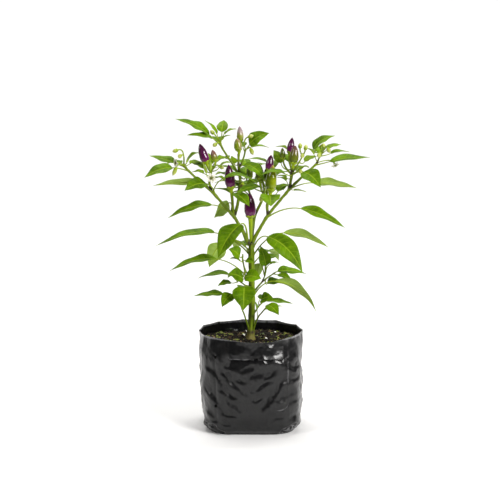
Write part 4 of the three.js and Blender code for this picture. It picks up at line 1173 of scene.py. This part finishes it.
def soil_height(x, y):
    """Height of the surface: broad lumps, a mound at the trunk and a dip along the bag."""
    angle, r = np.arctan2(y, x), np.hypot(x, y)
    lumps = 1.3 * np.sin(3 * angle + 0.09 * r) + 0.9 * np.sin(7 * angle - 0.13 * r)
    edge = r / bag_reach(angle, SOIL_LINE)
    mound = 1.4 * hump(r, 8) - 1.2 * smoothstep(0.86, 0.99, edge)
    return SOIL_TOP + 0.8 * lumps * np.minimum(1, r / 15) + mound


def make_soil():
    angle = circle(216)
    reach = bag_reach(angle, SOIL_LINE, 1.1) * np.linspace(1, 0.012, 64)[:, None]
    x, y = reach * np.cos(angle), reach * np.sin(angle)
    z = soil_height(x, y)
    for depth, size, seed in ((0.55, 5.5, 61), (0.4, 2.6, 62), (0.2, 1.4, 63)):
        z = z + depth * waves(np.stack([x, y], axis=-1), size, seed)
    rings = []
    for height in (SOIL_FOOT, 6, 14, 30, 55, 80, 98):
        side_x, side_y = bag_point(angle, height, 2.9)
        rings.append(np.stack([side_x, side_y, np.full(len(angle), height)], axis=-1))
    rings = np.concatenate([np.array(rings), np.stack([x, y, z], axis=-1)])
    points = np.vstack([rings.reshape(-1, 3), [0, 0, SOIL_FOOT], [0, 0, soil_height(0, 0)]])
    piece = Piece()
    piece.add(points, capped_faces(*rings.shape[:2]))
    return piece.make("soil_ground", ["soil"], "potting_mix", [MATERIALS["soil"]])


def ball():
    """A sphere of radius 1 made of 80 triangles."""
    g = (1 + math.sqrt(5)) / 2
    corners = [(0, a, b * g) for a in (-1, 1) for b in (-1, 1)]
    corners = [(c[i % 3], c[(i + 1) % 3], c[(i + 2) % 3]) for i in range(3) for c in corners]
    points = [unit(c) for c in corners]
    near = 2.1 / math.sqrt(1 + g * g)
    faces = []
    for i in range(12):
        for j in range(i + 1, 12):
            for k in range(j + 1, 12):
                trio = points[i], points[j], points[k]
                if max(np.linalg.norm(trio[a] - trio[a - 1]) for a in range(3)) < near:
                    outward = np.dot(np.cross(trio[1] - trio[0], trio[2] - trio[0]), trio[0]) > 0
                    faces.append((i, j, k) if outward else (i, k, j))
    middles = {}
    finer = []
    for face in faces:
        mids = []
        for a, b in zip(face, face[1:] + face[:1]):
            key = (min(a, b), max(a, b))
            if key not in middles:
                middles[key] = len(points)
                points.append(unit(points[a] + points[b]))
            mids.append(middles[key])
        finer += [(face[i], mids[i], mids[i - 1]) for i in range(3)] + [tuple(mids)]
    return np.array(points), np.array(finer)


BALL_POINTS, BALL_FACES = ball()


def bumpy_ball(chance, roughness, size):
    """The points of a ball with random bumps, a size apart."""
    return BALL_POINTS * (1 + roughness * waves(BALL_POINTS, size, int(chance.integers(1e6))))[:, None]


def add_lump(piece, centre, size, chance, roughness, tone):
    """A bumpy ball of a size along each of its axes, turned at random."""
    turn, _ = np.linalg.qr(chance.normal(size=(3, 3)))
    turn = turn * np.sign(np.linalg.det(turn))
    points = (bumpy_ball(chance, roughness, 1.1) * size) @ turn.T + centre
    piece.add(points, BALL_FACES, tone=tone)


def soil_places(chance, count, largest=0.95):
    """Random points on the soil, up to the largest share of the way to the bag."""
    angle = chance.uniform(0, 2 * math.pi, count)
    reach = bag_reach(angle, SOIL_LINE, 2) * np.sqrt(chance.uniform(0.01, 1, count)) * largest
    x, y = reach * np.cos(angle), reach * np.sin(angle)
    return np.stack([x, y, soil_height(x, y)], axis=-1)


def make_crumbs():
    chance = np.random.default_rng(71)
    piece = Piece()
    for place in soil_places(chance, 760, 0.975):
        radius = 0.5 + 1.5 * chance.uniform() ** 2.2
        size = radius * chance.uniform(0.7, 1.3, 3)
        add_lump(piece, place + [0, 0, 0.35 * radius], size, chance, 0.16, chance.uniform())
    return piece.make("soil_crumbs", [], "potting_mix", [MATERIALS["soil"]])


def make_chips():
    chance = np.random.default_rng(72)
    piece = Piece()
    for place in soil_places(chance, 120):
        length = chance.uniform(1.6, 5)
        size = np.array([length, chance.uniform(0.5, 1.3), chance.uniform(0.3, 0.6)])
        heading = chance.uniform(0, 2 * math.pi)
        c, s = math.cos(heading), math.sin(heading)
        turn = np.array([[c, -s, 0], [s, c, 0], [0, 0, 1]])
        tilt = chance.uniform(-0.35, 0.35)
        c, s = math.cos(tilt), math.sin(tilt)
        tip = np.array([[c, 0, -s], [0, 1, 0], [s, 0, c]])
        points = (bumpy_ball(chance, 0.12, 0.8) * size) @ tip.T @ turn.T + place + [0, 0, 0.7]
        piece.add(points, BALL_FACES, tone=chance.uniform())
    return piece.make("soil_bark_chips", [], "potting_mix", [MATERIALS["chip"]])


def make_perlite():
    chance = np.random.default_rng(73)
    piece = Piece()
    chosen = np.array(PERLITE_SPOTS)
    # These heights are cut to whole millimetres, so the spots lie a little deeper.
    chosen[:, 2] = soil_height(chosen[:, 0], chosen[:, 1])
    for place in np.vstack([chosen, soil_places(chance, 6)]):
        size = chance.uniform(0.9, 1.9) * chance.uniform(0.8, 1.2, 3)
        add_lump(piece, place + [0, 0, 0.9], size, chance, 0.13, chance.uniform())
    return piece.make("soil_perlite", [], "potting_mix", [MATERIALS["perlite"]])


def make_moss():
    """Sprigs of moss and scraps of leaf: tufts of small curved leaflets."""
    chance = np.random.default_rng(74)
    piece = Piece()
    u = np.linspace(0, 1, 6)[:, None]
    v = np.linspace(-1, 1, 4)[None, :]
    outline = np.sin(math.pi * np.clip(0.06 + u, 0, 0.985)) ** 0.8
    for place in soil_places(chance, 125, 0.97):
        tone = chance.uniform()
        reach = chance.uniform(2.0, 5.0)
        for _ in range(int(chance.integers(3, 8))):
            heading = chance.uniform(0, 2 * math.pi)
            out = np.array([math.cos(heading), math.sin(heading), 0])
            side = np.array([-out[1], out[0], 0])
            length = reach * chance.uniform(0.6, 1.1)
            half = length * chance.uniform(0.12, 0.24) * outline
            lift = length * (0.75 * u - 0.55 * u**2) + 0.4 * np.abs(v) * half
            top = place + out * (length * u + 0 * v)[..., None] + side * (half * v)[..., None]
            top = top + np.array([0, 0, 1.0]) * (lift + 0.3)[..., None]
            add_sheet(piece, top, grid_normals(top), 0.16, (0, 0), tone=tone, along=u)
    return piece.make("soil_moss", [], "potting_mix", [MATERIALS["moss"]])


# Materials, all made of nodes that read the values which the pieces carry. Grain is in millimetres.


class Shader:
    """A builder of one material's nodes. Each x, a, b or colour is a value or a node's output."""

    def __init__(self, name):
        self.material = bpy.data.materials.new(name)
        self.material.use_nodes = True
        self.tree = self.material.node_tree
        self.surface = self.tree.nodes["Principled BSDF"]

    def feed(self, socket, value):
        if isinstance(value, bpy.types.NodeSocket):
            self.tree.links.new(value, socket)
        elif hasattr(value, "__len__") and len(value) == 3 and socket.type == "RGBA":
            socket.default_value = (*value, 1)
        else:
            socket.default_value = value

    def node(self, kind, inputs, **settings):
        made = self.tree.nodes.new(kind)
        for key, value in settings.items():
            setattr(made, key, value)
        for key, value in inputs.items():
            self.feed(made.inputs[key], value)
        return made

    def value(self, name):
        return self.node("ShaderNodeAttribute", {}, attribute_name=name).outputs["Fac"]

    def grain(self, scale):
        """The place on the surface in millimetres, times a scale: a number, or one for each axis."""
        place = self.node("ShaderNodeAttribute", {}, attribute_name="grain").outputs["Vector"]
        scale = np.broadcast_to(scale, 3).tolist()
        return self.node("ShaderNodeVectorMath", {0: place, 1: scale}, operation="MULTIPLY").outputs[0]

    def noise(self, scale, detail=3.0, roughness=0.55, distortion=0.0):
        """Cloudy noise, whose lumps along each axis are about one over the scale, in millimetres."""
        inputs = {"Vector": self.grain(scale), "Scale": 1.0}
        inputs.update({"Detail": detail, "Roughness": roughness, "Distortion": distortion})
        return self.node("ShaderNodeTexNoise", inputs).outputs["Fac"]

    def cells(self, scale, feature="F1"):
        inputs = {"Vector": self.grain(scale), "Scale": 1.0}
        return self.node("ShaderNodeTexVoronoi", inputs, feature=feature).outputs["Distance"]

    def math(self, operation, a, b=0.0):
        return self.node("ShaderNodeMath", {0: a, 1: b}, operation=operation).outputs[0]

    def times(self, a, b):
        return self.math("MULTIPLY", a, b)

    def plus(self, a, b, share):
        """a plus a share of b."""
        return self.math("ADD", a, self.times(b, share))

    def varied(self, x, noise, amount):
        """x raised and lowered by noise, whose middle is 0.5."""
        return self.plus(x, self.math("SUBTRACT", noise, 0.5), amount)

    def span(self, x, low, high, first=0.0, last=1.0):
        """x taken smoothly from the span low to high to the span first to last."""
        inputs = {"Value": x, "From Min": low, "From Max": high, "To Min": first, "To Max": last}
        return self.node("ShaderNodeMapRange", inputs, interpolation_type="SMOOTHSTEP").outputs[0]

    def mix(self, share, a, b):
        return self.node("ShaderNodeMix", {0: share, 6: a, 7: b}, data_type="RGBA").outputs[2]

    def ramp(self, share, stops):
        made = self.node("ShaderNodeValToRGB", {"Fac": share})
        elements = made.color_ramp.elements
        while len(elements) < len(stops):
            elements.new(0.5)
        for element, (position, colour) in zip(elements, stops):
            element.position = position
            element.color = (*colour, 1)
        return made.outputs["Color"]

    def bump(self, height, strength, distance_mm):
        inputs = {"Height": height, "Strength": strength, "Distance": distance_mm * MM}
        return self.node("ShaderNodeBump", inputs).outputs["Normal"]

    def finish(self, colour, roughness, normal=None, **settings):
        """Feeds the surface. Each setting is a number for the input of its name."""
        self.feed(self.surface.inputs["Base Color"], colour)
        self.feed(self.surface.inputs["Roughness"], roughness)
        if normal is not None:
            self.feed(self.surface.inputs["Normal"], normal)
        for key, value in settings.items():
            self.surface.inputs[key.replace("_", " ")].default_value = value
        return self.material


def leaf_material(name, dark, bright, young, vein, roughness, relief):
    """A blade's face: mottled green, paler on young leaves, with a pale midrib and paler side veins."""
    s = Shader(name)
    away = s.math("ABSOLUTE", s.value("across"))
    blotch = s.noise((0.05, 0.07, 0.05), 3)
    mottle = s.noise(0.7, 4, 0.6)
    colour = s.mix(s.span(blotch, 0.3, 0.7), dark, bright)
    colour = s.mix(s.span(mottle, 0.35, 0.75, 0, 0.35), colour, bright)
    colour = s.mix(s.span(s.value("tone"), 0.0, 1.0, 0, 0.9), colour, young)
    cell = s.math("ABSOLUTE", s.math("SUBTRACT", s.math("FRACT", s.value("phase")), 0.5))
    side_vein = s.times(s.span(cell, 0.39, 0.48), s.span(away, 0.55, 1.0, 1.0, 0.0))
    net = s.span(s.cells(0.75, "DISTANCE_TO_EDGE"), 0.0, 0.14, 0.14, 0.0)
    midrib = s.span(away, 0.025, 0.1, 1.0, 0.0)
    veins = s.math("MAXIMUM", s.math("MAXIMUM", s.times(side_vein, 0.36), net), midrib)
    colour = s.mix(s.times(veins, 0.65), colour, vein)
    colour = s.mix(s.span(away, 0.9, 1.0, 0, 0.3), colour, vein)
    shine = s.varied(roughness, mottle, 0.25)
    height = s.plus(s.times(mottle, 0.5), veins, relief)
    return s.finish(colour, shine, s.bump(height, 0.35, 0.25), Specular_IOR_Level=0.07)


def stem_material():
    """Stems, petioles and calyxes: green, yellower where they are young, and nearly black at the forks."""
    s = Shader("stem")
    streaks = s.noise((0.8, 0.8, 0.06), 4, 0.6)
    speckle = s.noise((2.5, 2.5, 1.4), 3)
    colour = s.mix(s.value("tone"), (0.115, 0.175, 0.008), (0.33, 0.45, 0.015))
    colour = s.mix(s.span(streaks, 0.42, 0.7, 0, 0.35), colour, (0.08, 0.125, 0.006))
    colour = s.mix(s.span(speckle, 0.6, 0.75, 0, 0.3), colour, (0.42, 0.52, 0.06))
    dark = s.times(s.value("mark"), s.span(streaks, 0.2, 0.55, 0.7, 1.25))
    colour = s.mix(s.span(dark, 0.15, 0.7, 0, 0.92), colour, (0.035, 0.018, 0.022))
    shine = s.span(speckle, 0.2, 0.8, 0.34, 0.52)
    normal = s.bump(s.plus(streaks, speckle, 0.4), 0.3, 0.3)
    return s.finish(colour, shine, normal, Specular_IOR_Level=0.2)


def bark_material():
    """The trunk: green bark with a darker olive brown streak up its left side, partly the bark's own
    colour and partly painted shade, and a corky foot.
    """
    s = Shader("bark")
    streaks = s.noise((0.75, 0.75, 0.05), 5, 0.62)
    cracks = s.noise((1.6, 1.6, 0.18), 4, 0.7)
    spots = s.cells((0.5, 0.5, 0.22))
    colour = s.mix(s.span(streaks, 0.3, 0.7), (0.11, 0.17, 0.005), (0.21, 0.3, 0.01))
    # The tone value darkens the left side to olive brown: the bark's own streak, and painted shade on the
    # side away from the key light.
    side = s.varied(s.value("tone"), streaks, 0.7)
    colour = s.mix(s.span(side, 0.2, 0.75, 0, 0.75), colour, (0.055, 0.072, 0.006))
    foot = s.varied(s.value("along"), cracks, 0.1)
    colour = s.mix(s.span(foot, 0.02, 0.16, 0.85, 0), colour, (0.15, 0.115, 0.035))
    colour = s.mix(s.span(cracks, 0.56, 0.7, 0, 0.4), colour, (0.06, 0.05, 0.02))
    colour = s.mix(s.span(spots, 0.05, 0.16, 0.5, 0), colour, (0.36, 0.36, 0.17))
    colour = s.mix(s.span(s.value("mark"), 0.2, 0.8, 0, 0.95), colour, (0.04, 0.022, 0.024))
    shine = s.span(cracks, 0.3, 0.7, 0.42, 0.62)
    normal = s.bump(s.plus(streaks, cracks, 0.8), 0.5, 0.4)
    return s.finish(colour, shine, normal, Specular_IOR_Level=0.15)


def fruit_material(name, stops, blush_and_lit_side=None, roughness=0.16):
    """Glossy skin whose colour changes from foot to tip, lightened on the side towards +X where the key
    light falls: painted light, with a real pink blush on some skins.
    """
    s = Shader("fruit_" + name)
    cloud = s.noise((0.16, 0.16, 0.1), 3)
    fine = s.noise((1.3, 1.3, 0.7), 3, 0.6)
    height = s.varied(s.value("along"), cloud, 0.35)
    colour = s.ramp(height, stops)
    # Painted light: the side towards +X, where the key light falls, is mixed towards a lighter tint.
    if blush_and_lit_side:
        low, high, share, tint = blush_and_lit_side
        side = s.varied(s.value("across"), cloud, 0.9)
        colour = s.mix(s.span(side, low, high, 0, share), colour, tint)
    colour = s.mix(s.span(fine, 0.55, 0.75, 0, 0.08), colour, (0.5, 0.42, 0.3))
    tip = s.span(s.value("along"), 0.975, 0.995)
    colour = s.mix(s.times(tip, 0.7), colour, (0.05, 0.02, 0.02))
    shine = s.varied(roughness, fine, 0.16)
    normal = s.bump(s.plus(cloud, fine, 0.3), 0.22, 0.6)
    return s.finish(colour, shine, normal, Specular_IOR_Level=0.2, Coat_Weight=0.6, Coat_Roughness=0.05)


def film_material():
    """Black film: a soft sheen under a gloss, faint lines along the tube, dust at its foot, and painted
    highlights along folds and the mouth, where the film is partly whitened by real wear.
    """
    s = Shader("film")
    crumple = s.noise((0.11, 0.11, 0.08), 4, 0.6, 0.8)
    lines = s.noise((1.6, 1.6, 0.015), 2)
    dust = s.noise((0.35, 0.35, 0.2), 5, 0.65)
    colour = s.mix(s.span(crumple, 0.3, 0.7), (0.002, 0.0021, 0.0024), (0.0045, 0.0045, 0.0049))
    grime = s.times(s.span(dust, 0.5, 0.72), s.plus(0.05, s.value("mark"), 0.35))
    colour = s.mix(grime, colour, (0.06, 0.052, 0.038))
    # Painted highlights: where the along value is high the film turns pale grey, as if catching the key
    # light; at the mouth this is partly real stress whitening.
    highlight_and_wear = s.times(s.value("along"), s.span(crumple, 0.3, 0.55, 0.5, 1.0))
    colour = s.mix(s.span(highlight_and_wear, 0.25, 0.95, 0, 0.85), colour, (0.15, 0.15, 0.155))
    shine = s.plus(s.span(dust, 0.3, 0.7, 0.28, 0.38), grime, 0.3)
    normal = s.bump(s.plus(s.times(crumple, 1.6), lines, 0.08), 0.18, 1.1)
    return s.finish(colour, shine, normal, Specular_IOR_Level=0.2, Coat_Weight=0.5, Coat_Roughness=0.17)


def soil_material():
    s = Shader("soil")
    clumps = s.noise(0.35, 6, 0.7)
    grit = s.cells(1.1)
    stops = [(0.3, (0.004, 0.003, 0.002)), (0.55, (0.012, 0.008, 0.005)), (0.8, (0.045, 0.027, 0.012))]
    colour = s.ramp(clumps, stops)
    colour = s.mix(s.span(s.value("tone"), 0.75, 1.0, 0, 0.6), colour, (0.075, 0.045, 0.02))
    colour = s.mix(s.span(grit, 0.1, 0.3, 0.35, 0), colour, (0.1, 0.075, 0.03))
    shine = s.span(clumps, 0.2, 0.8, 0.75, 0.98)
    normal = s.bump(s.plus(clumps, grit, 0.5), 0.8, 1.2)
    return s.finish(colour, shine, normal, Specular_IOR_Level=0.25)


def chip_material():
    s = Shader("bark_chip")
    fibre = s.noise((0.5, 2.4, 2.4), 4, 0.65)
    colour = s.mix(s.value("tone"), (0.035, 0.02, 0.009), (0.21, 0.125, 0.045))
    colour = s.mix(s.span(fibre, 0.45, 0.7, 0, 0.6), colour, (0.03, 0.018, 0.01))
    return s.finish(colour, s.span(fibre, 0.3, 0.7, 0.65, 0.9), s.bump(fibre, 0.7, 0.5))


def perlite_material():
    s = Shader("perlite")
    pores = s.cells(2.4)
    colour = s.mix(s.span(pores, 0.1, 0.5), (0.42, 0.4, 0.34), (0.82, 0.81, 0.77))
    return s.finish(colour, s.span(pores, 0.0, 0.6, 0.95, 0.8), s.bump(pores, 0.6, 0.5))


def moss_material():
    s = Shader("moss")
    patch = s.noise(0.8, 3)
    colour = s.mix(s.value("tone"), (0.035, 0.065, 0.008), (0.28, 0.33, 0.03))
    colour = s.mix(s.span(patch, 0.45, 0.7, 0, 0.5), colour, (0.13, 0.11, 0.03))
    colour = s.mix(s.span(s.value("along"), 0.5, 1.0, 0, 0.35), colour, (0.4, 0.44, 0.1))
    return s.finish(colour, s.span(patch, 0.3, 0.7, 0.5, 0.75), s.bump(patch, 0.4, 0.3))


def petal_material():
    s = Shader("petal")
    threads = s.noise(0.5, 4)
    away = s.math("ABSOLUTE", s.value("across"))
    colour = s.mix(s.span(s.value("along"), 0.0, 0.4, 1, 0), (0.7, 0.69, 0.55), (0.42, 0.5, 0.12))
    colour = s.mix(s.span(away, 0.02, 0.16, 0.35, 0), colour, (0.56, 0.6, 0.3))
    colour = s.mix(s.span(threads, 0.5, 0.7, 0, 0.25), colour, (0.6, 0.58, 0.42))
    return s.finish(colour, s.span(threads, 0.3, 0.7, 0.5, 0.65), s.bump(threads, 0.3, 0.2))


def anther_material():
    s = Shader("anther")
    pollen = s.cells(4.0)
    colour = s.mix(s.span(pollen, 0.1, 0.45), (0.4, 0.34, 0.18), (0.14, 0.1, 0.08))
    return s.finish(colour, s.span(pollen, 0.0, 0.5, 0.8, 0.6), s.bump(pollen, 0.5, 0.2))


def bud_material():
    s = Shader("bud")
    cloud = s.noise(0.7, 3)
    stops = [(0.0, (0.2, 0.29, 0.015)), (0.5, (0.36, 0.43, 0.05)), (1.0, (0.5, 0.54, 0.16))]
    colour = s.ramp(s.value("along"), stops)
    colour = s.mix(s.span(s.value("across"), 0.2, 1.0, 0, 0.35), colour, (0.55, 0.58, 0.22))
    colour = s.mix(s.span(cloud, 0.5, 0.75, 0, 0.3), colour, (0.27, 0.34, 0.04))
    colour = s.mix(s.times(s.value("tone"), 0.92), colour, (0.1, 0.05, 0.018))
    shine = s.span(cloud, 0.3, 0.7, 0.38, 0.5)
    return s.finish(colour, shine, s.bump(cloud, 0.3, 0.3), Specular_IOR_Level=0.4)


# Skins of the fruits. Stops are colours along the fruit from foot to tip. A blush is (low, high, share,
# colour): its share grows from low to high across the fruit, where 1 is towards +X and -1 towards -X. It
# is painted light on the side the key light falls on, with a real pink tint on some skins.
FRUIT_SKINS = {
    "purple": {
        "stops": [
            (0.0, (0.26, 0.045, 0.17)), (0.16, (0.14, 0.013, 0.09)),
            (0.5, (0.078, 0.006, 0.05)), (1.0, (0.042, 0.005, 0.026)),
        ],
        "roughness": 0.13,
    },
    "green": {
        "stops": [(0.0, (0.16, 0.2, 0.012)), (0.4, (0.085, 0.125, 0.008)), (1.0, (0.05, 0.06, 0.009))],
    },
    "mauve": {
        "stops": [
            (0.0, (0.25, 0.36, 0.005)), (0.36, (0.31, 0.34, 0.03)),
            (0.6, (0.33, 0.25, 0.2)), (1.0, (0.28, 0.17, 0.24)),
        ],
        # Paler mauve on the side towards the key light: painted light, partly a real blush.
        "blush_and_lit_side": (0.2, 0.9, 0.3, (0.48, 0.38, 0.42)),
        "roughness": 0.28,
    },
    "blushed": {
        "stops": [(0.0, (0.21, 0.3, 0.006)), (0.6, (0.18, 0.235, 0.01)), (1.0, (0.3, 0.17, 0.12))],
        # Paler pink brown on the side towards the key light: painted light, partly a real pink blush.
        "blush_and_lit_side": (-0.1, 0.6, 0.4, (0.42, 0.26, 0.2)),
        "roughness": 0.25,
    },
    "browning": {
        "stops": [
            (0.0, (0.25, 0.3, 0.02)), (0.35, (0.2, 0.2, 0.03)),
            (0.62, (0.19, 0.09, 0.06)), (1.0, (0.15, 0.05, 0.06)),
        ],
        "roughness": 0.25,
    },
    "turning": {
        "stops": [
            (0.0, (0.12, 0.17, 0.006)), (0.45, (0.11, 0.125, 0.01)),
            (0.8, (0.12, 0.065, 0.03)), (1.0, (0.12, 0.04, 0.05)),
        ],
        "roughness": 0.2,
    },
    "lime": {
        "stops": [
            (0.0, (0.12, 0.19, 0.003)), (0.6, (0.085, 0.115, 0.003)),
            (0.84, (0.14, 0.12, 0.012)), (1.0, (0.4, 0.17, 0.13)),
        ],
        # Lighter green on the side towards the key light, darker on the left: painted light.
        "blush_and_lit_side": (-0.5, 0.5, 0.75, (0.27, 0.33, 0.006)),
    },
}
# Fruits whose skin isn't the one named by their colour
FRUIT_LOOKS = {
    "pepper_back": "green",
    "pepper_top": "mauve",
    "pepper_top_front": "blushed",
    "pepper_left_small": "browning",
    "pepper_right_front": "turning",
    "pepper_right_inner": "lime",
}

MATERIALS = {
    "leaf": leaf_material(
        "leaf",
        dark=(0.036, 0.092, 0.0004),
        bright=(0.122, 0.245, 0.001),
        young=(0.235, 0.38, 0.004),
        vein=(0.29, 0.41, 0.02),
        roughness=0.45,
        relief=-0.6,
    ),
    # Undersides: the leaf's own paler green, brightened well beyond it as painted light that stands in for
    # light shining through the thin blade.
    "underside_and_glow": leaf_material(
        "leaf_back_and_glow",
        dark=(0.26, 0.4, 0.05),
        bright=(0.37, 0.53, 0.1),
        young=(0.43, 0.59, 0.12),
        vein=(0.52, 0.65, 0.2),
        roughness=0.55,
        relief=0.8,
    ),
    "stem": stem_material(),
    "bark": bark_material(),
    "bud": bud_material(),
    "petal": petal_material(),
    "anther": anther_material(),
    "film": film_material(),
    "soil": soil_material(),
    "chip": chip_material(),
    "perlite": perlite_material(),
    "moss": moss_material(),
}
for name, skin in FRUIT_SKINS.items():
    MATERIALS["fruit_" + name] = fruit_material(name, **skin)


# Assembly


def add_fruit_piece(name, base, tip, width, colour):
    make_fruit(name, base, tip, width, FRUIT_LOOKS.get(name, colour), colour + "_fruit")


def make_leafy_stem(name, plan, seed):
    """A limb, spur or shoot. Each kind of part has its own run of seeds."""

    def start(stem, place):
        return stem_point(plan["stems"][stem], place)

    blades, stems, buds = Piece(), Piece(), Piece()
    joints = [[] for _ in plan["stems"]]
    for stem, place, *_ in plan["leaves"] + plan["buds"]:
        joints[stem].append(place)
    for _, stem, place, *_ in plan["fruits"] + plan["flowers"]:
        joints[stem].append(place)
    for i, stem in enumerate(plan["stems"]):
        add_stem(stems, stem, joints[i], seed + i)
    for i, (stem, place, *shape) in enumerate(plan["leaves"]):
        add_leaf(blades, stems, start(stem, place), shape, seed + 20 + i)
    for i, (_, stem, place, base, tip, width, _) in enumerate(plan["fruits"]):
        add_calyx(stems, start(stem, place), base, tip, width, 0.15 * width, seed + 40 + i)
    for i, (stem, place, neck, tip) in enumerate(plan["buds"]):
        add_bud(stems, buds, start(stem, place), neck, tip, seed + 60 + i, (name, i) in SPENT_BUDS)
    for i, (_, stem, place, neck, facing, _) in enumerate(plan["flowers"]):
        path = stalk_points(start(stem, place), np.array(neck, float), unit(facing), 10)
        rings, _ = rings_round(path, 0.6 + 0.75 * np.linspace(0, 1, 10) ** 3, 10)
        add_rings(stems, path, rings, seed=seed + 80 + i, tone=np.linspace(0.5, 0.95, 10))
    slot = "young_foliage" if name.startswith("shoot") else "foliage"
    stems.make(name + "_stems", [name], slot, [MATERIALS["stem"]])
    blades.make(name + "_blades", [name], slot, [MATERIALS["leaf"], MATERIALS["underside_and_glow"]])
    if plan["buds"]:
        buds.make(name + "_buds", [name], slot, [MATERIALS["bud"]])


make_bag()
make_flap()
make_soil()
make_crumbs()
make_chips()
make_perlite()
make_moss()

trunk = Piece()
add_trunk(trunk)
trunk.make("trunk_bark", ["trunk"], "bark", [MATERIALS["bark"]])
crown_calyx = Piece()
add_calyx(crown_calyx, np.array(CROWN_STALK_FOOT, float), *CROWN_FRUIT[1:4], CROWN_STALK_RADIUS, 3)
crown_calyx.make("trunk_calyx", ["trunk"], "bark", [MATERIALS["stem"]])
add_fruit_piece(*CROWN_FRUIT)

for number, (name, plan) in enumerate(LEAFY_STEMS.items()):
    make_leafy_stem(name, plan, 100 * (number + 1))
    for fruit_name, _, _, base, tip, width, colour in plan["fruits"]:
        add_fruit_piece(fruit_name, base, tip, width, colour)
    for flower_name, _, _, neck, facing, width in plan["flowers"]:
        make_flower(flower_name, neck, facing, width, "petal")

for number, (name, (height, *shape)) in enumerate(TRUNK_LEAVES.items()):
    blade, petiole = Piece(), Piece()
    add_leaf(blade, petiole, trunk_point(height), shape, 3000 + number)
    blade.make(name + "_blade", [name], "foliage", [MATERIALS["leaf"], MATERIALS["underside_and_glow"]])
    petiole.make(name + "_petiole", [name], "foliage", [MATERIALS["stem"]])

# Stage: a pale floor that curves up all round, soft lights, and the photographed view, in metres

FLAT_RADIUS = 2.2
CURVE_RADIUS = 1.3
STAGE_HEIGHT = 3.4
FLOOR_DROP = 0.0002  # how far the floor is below the bag's foot
# Soft boxes, as [name, place, what it faces, (width, height), watts, spread in degrees]
LIGHTS = [
    ["key", (1.02, -1.02, 0.85), (0, 0.05, 0.2), (0.7, 0.65), 5.2, 70],
    ["fill", (-1.3, -0.9, 1.1), (0, 0, 0.25), (0.5, 0.7), 1.4, 70],
    ["top", (-0.1, 0.25, 1.6), (0, 0.05, 0.2), (0.9, 0.9), 2.1, 70],
    ["backdrop", (0, 0.9, 2.4), (0, 3.4, 0.2), (2.4, 0.5), 84, 180],
]
WORLD_STRENGTH = 0.07
CAMERA_PLACE = (-0.0004, -1.4126, 0.3957)
CAMERA_PITCH = 7.3  # degrees below level
LENS_MM = 85
SENSOR_MM = 36


def stage_material():
    """Pale round the object and behind it, and greyer out of the picture, at the sides and the front."""
    s = Shader("stage")
    cloud = s.node("ShaderNodeTexNoise", {"Scale": 1.5, "Detail": 2.0}).outputs["Fac"]
    place = s.node("ShaderNodeTexCoord", {}).outputs["Object"]
    away = s.node("ShaderNodeVectorMath", {0: place}, operation="LENGTH").outputs["Value"]
    backward = s.node("ShaderNodeSeparateXYZ", {"Vector": place}).outputs["Y"]
    off_stage = s.math("SUBTRACT", away, s.times(backward, 1.2))
    pale = s.mix(cloud, (0.88, 0.88, 0.88), (0.92, 0.92, 0.92))
    colour = s.mix(s.span(off_stage, 0.75, 2.0), pale, (0.3, 0.3, 0.3))
    return s.finish(colour, 0.9, Specular_IOR_Level=0.1)


def make_stage():
    profile = [[0.001, 0], [0.5, 0], [1.2, 0], [FLAT_RADIUS, 0]]
    for turn in np.radians(np.arange(10, 91, 10)):
        profile.append([FLAT_RADIUS + CURVE_RADIUS * np.sin(turn), CURVE_RADIUS * (1 - np.cos(turn))])
    profile.append([FLAT_RADIUS + CURVE_RADIUS, STAGE_HEIGHT])
    angle = circle(96)
    rings = []
    for r, z in profile:
        level = np.full(len(angle), z - FLOOR_DROP)
        rings.append(np.stack([r * np.cos(angle), r * np.sin(angle), level], axis=-1))
    faces = grid_faces(len(profile), len(angle), closed=True)
    mesh = bpy.data.meshes.new("floor")
    mesh.from_pydata(np.concatenate(rings).tolist(), [], faces.tolist(), shade_flat=False)
    mesh.materials.append(stage_material())
    floor = bpy.data.objects.new("floor", mesh)
    bpy.context.collection.objects.link(floor)


def add_light(name, place, target, size, power, spread):
    """A soft box, whose light is kept within a spread of degrees, as by a grid across it."""
    light = bpy.data.lights.new(name, "AREA")
    light.shape = "RECTANGLE"
    light.size, light.size_y = size
    light.energy = power
    light.spread = math.radians(spread)
    light.color = (1.0, 0.985, 0.97)
    lamp = bpy.data.objects.new(name, light)
    lamp.location = place
    lamp.rotation_euler = (Vector(target) - Vector(place)).to_track_quat("-Z", "Y").to_euler()
    bpy.context.collection.objects.link(lamp)


make_stage()
for row in LIGHTS:
    add_light(*row)

world = bpy.data.worlds.new("studio")
world.use_nodes = True
background = world.node_tree.nodes["Background"]
background.inputs["Color"].default_value = (1, 1, 1, 1)
background.inputs["Strength"].default_value = WORLD_STRENGTH
bpy.context.scene.world = world
bpy.context.scene.view_settings.view_transform = "Standard"

camera_data = bpy.data.cameras.new("camera")
camera_data.lens = LENS_MM
camera_data.sensor_width = SENSOR_MM
camera = bpy.data.objects.new("camera", camera_data)
camera.location = CAMERA_PLACE
camera.rotation_euler = (math.radians(90 - CAMERA_PITCH), 0, 0)
bpy.context.collection.objects.link(camera)
bpy.context.scene.camera = camera
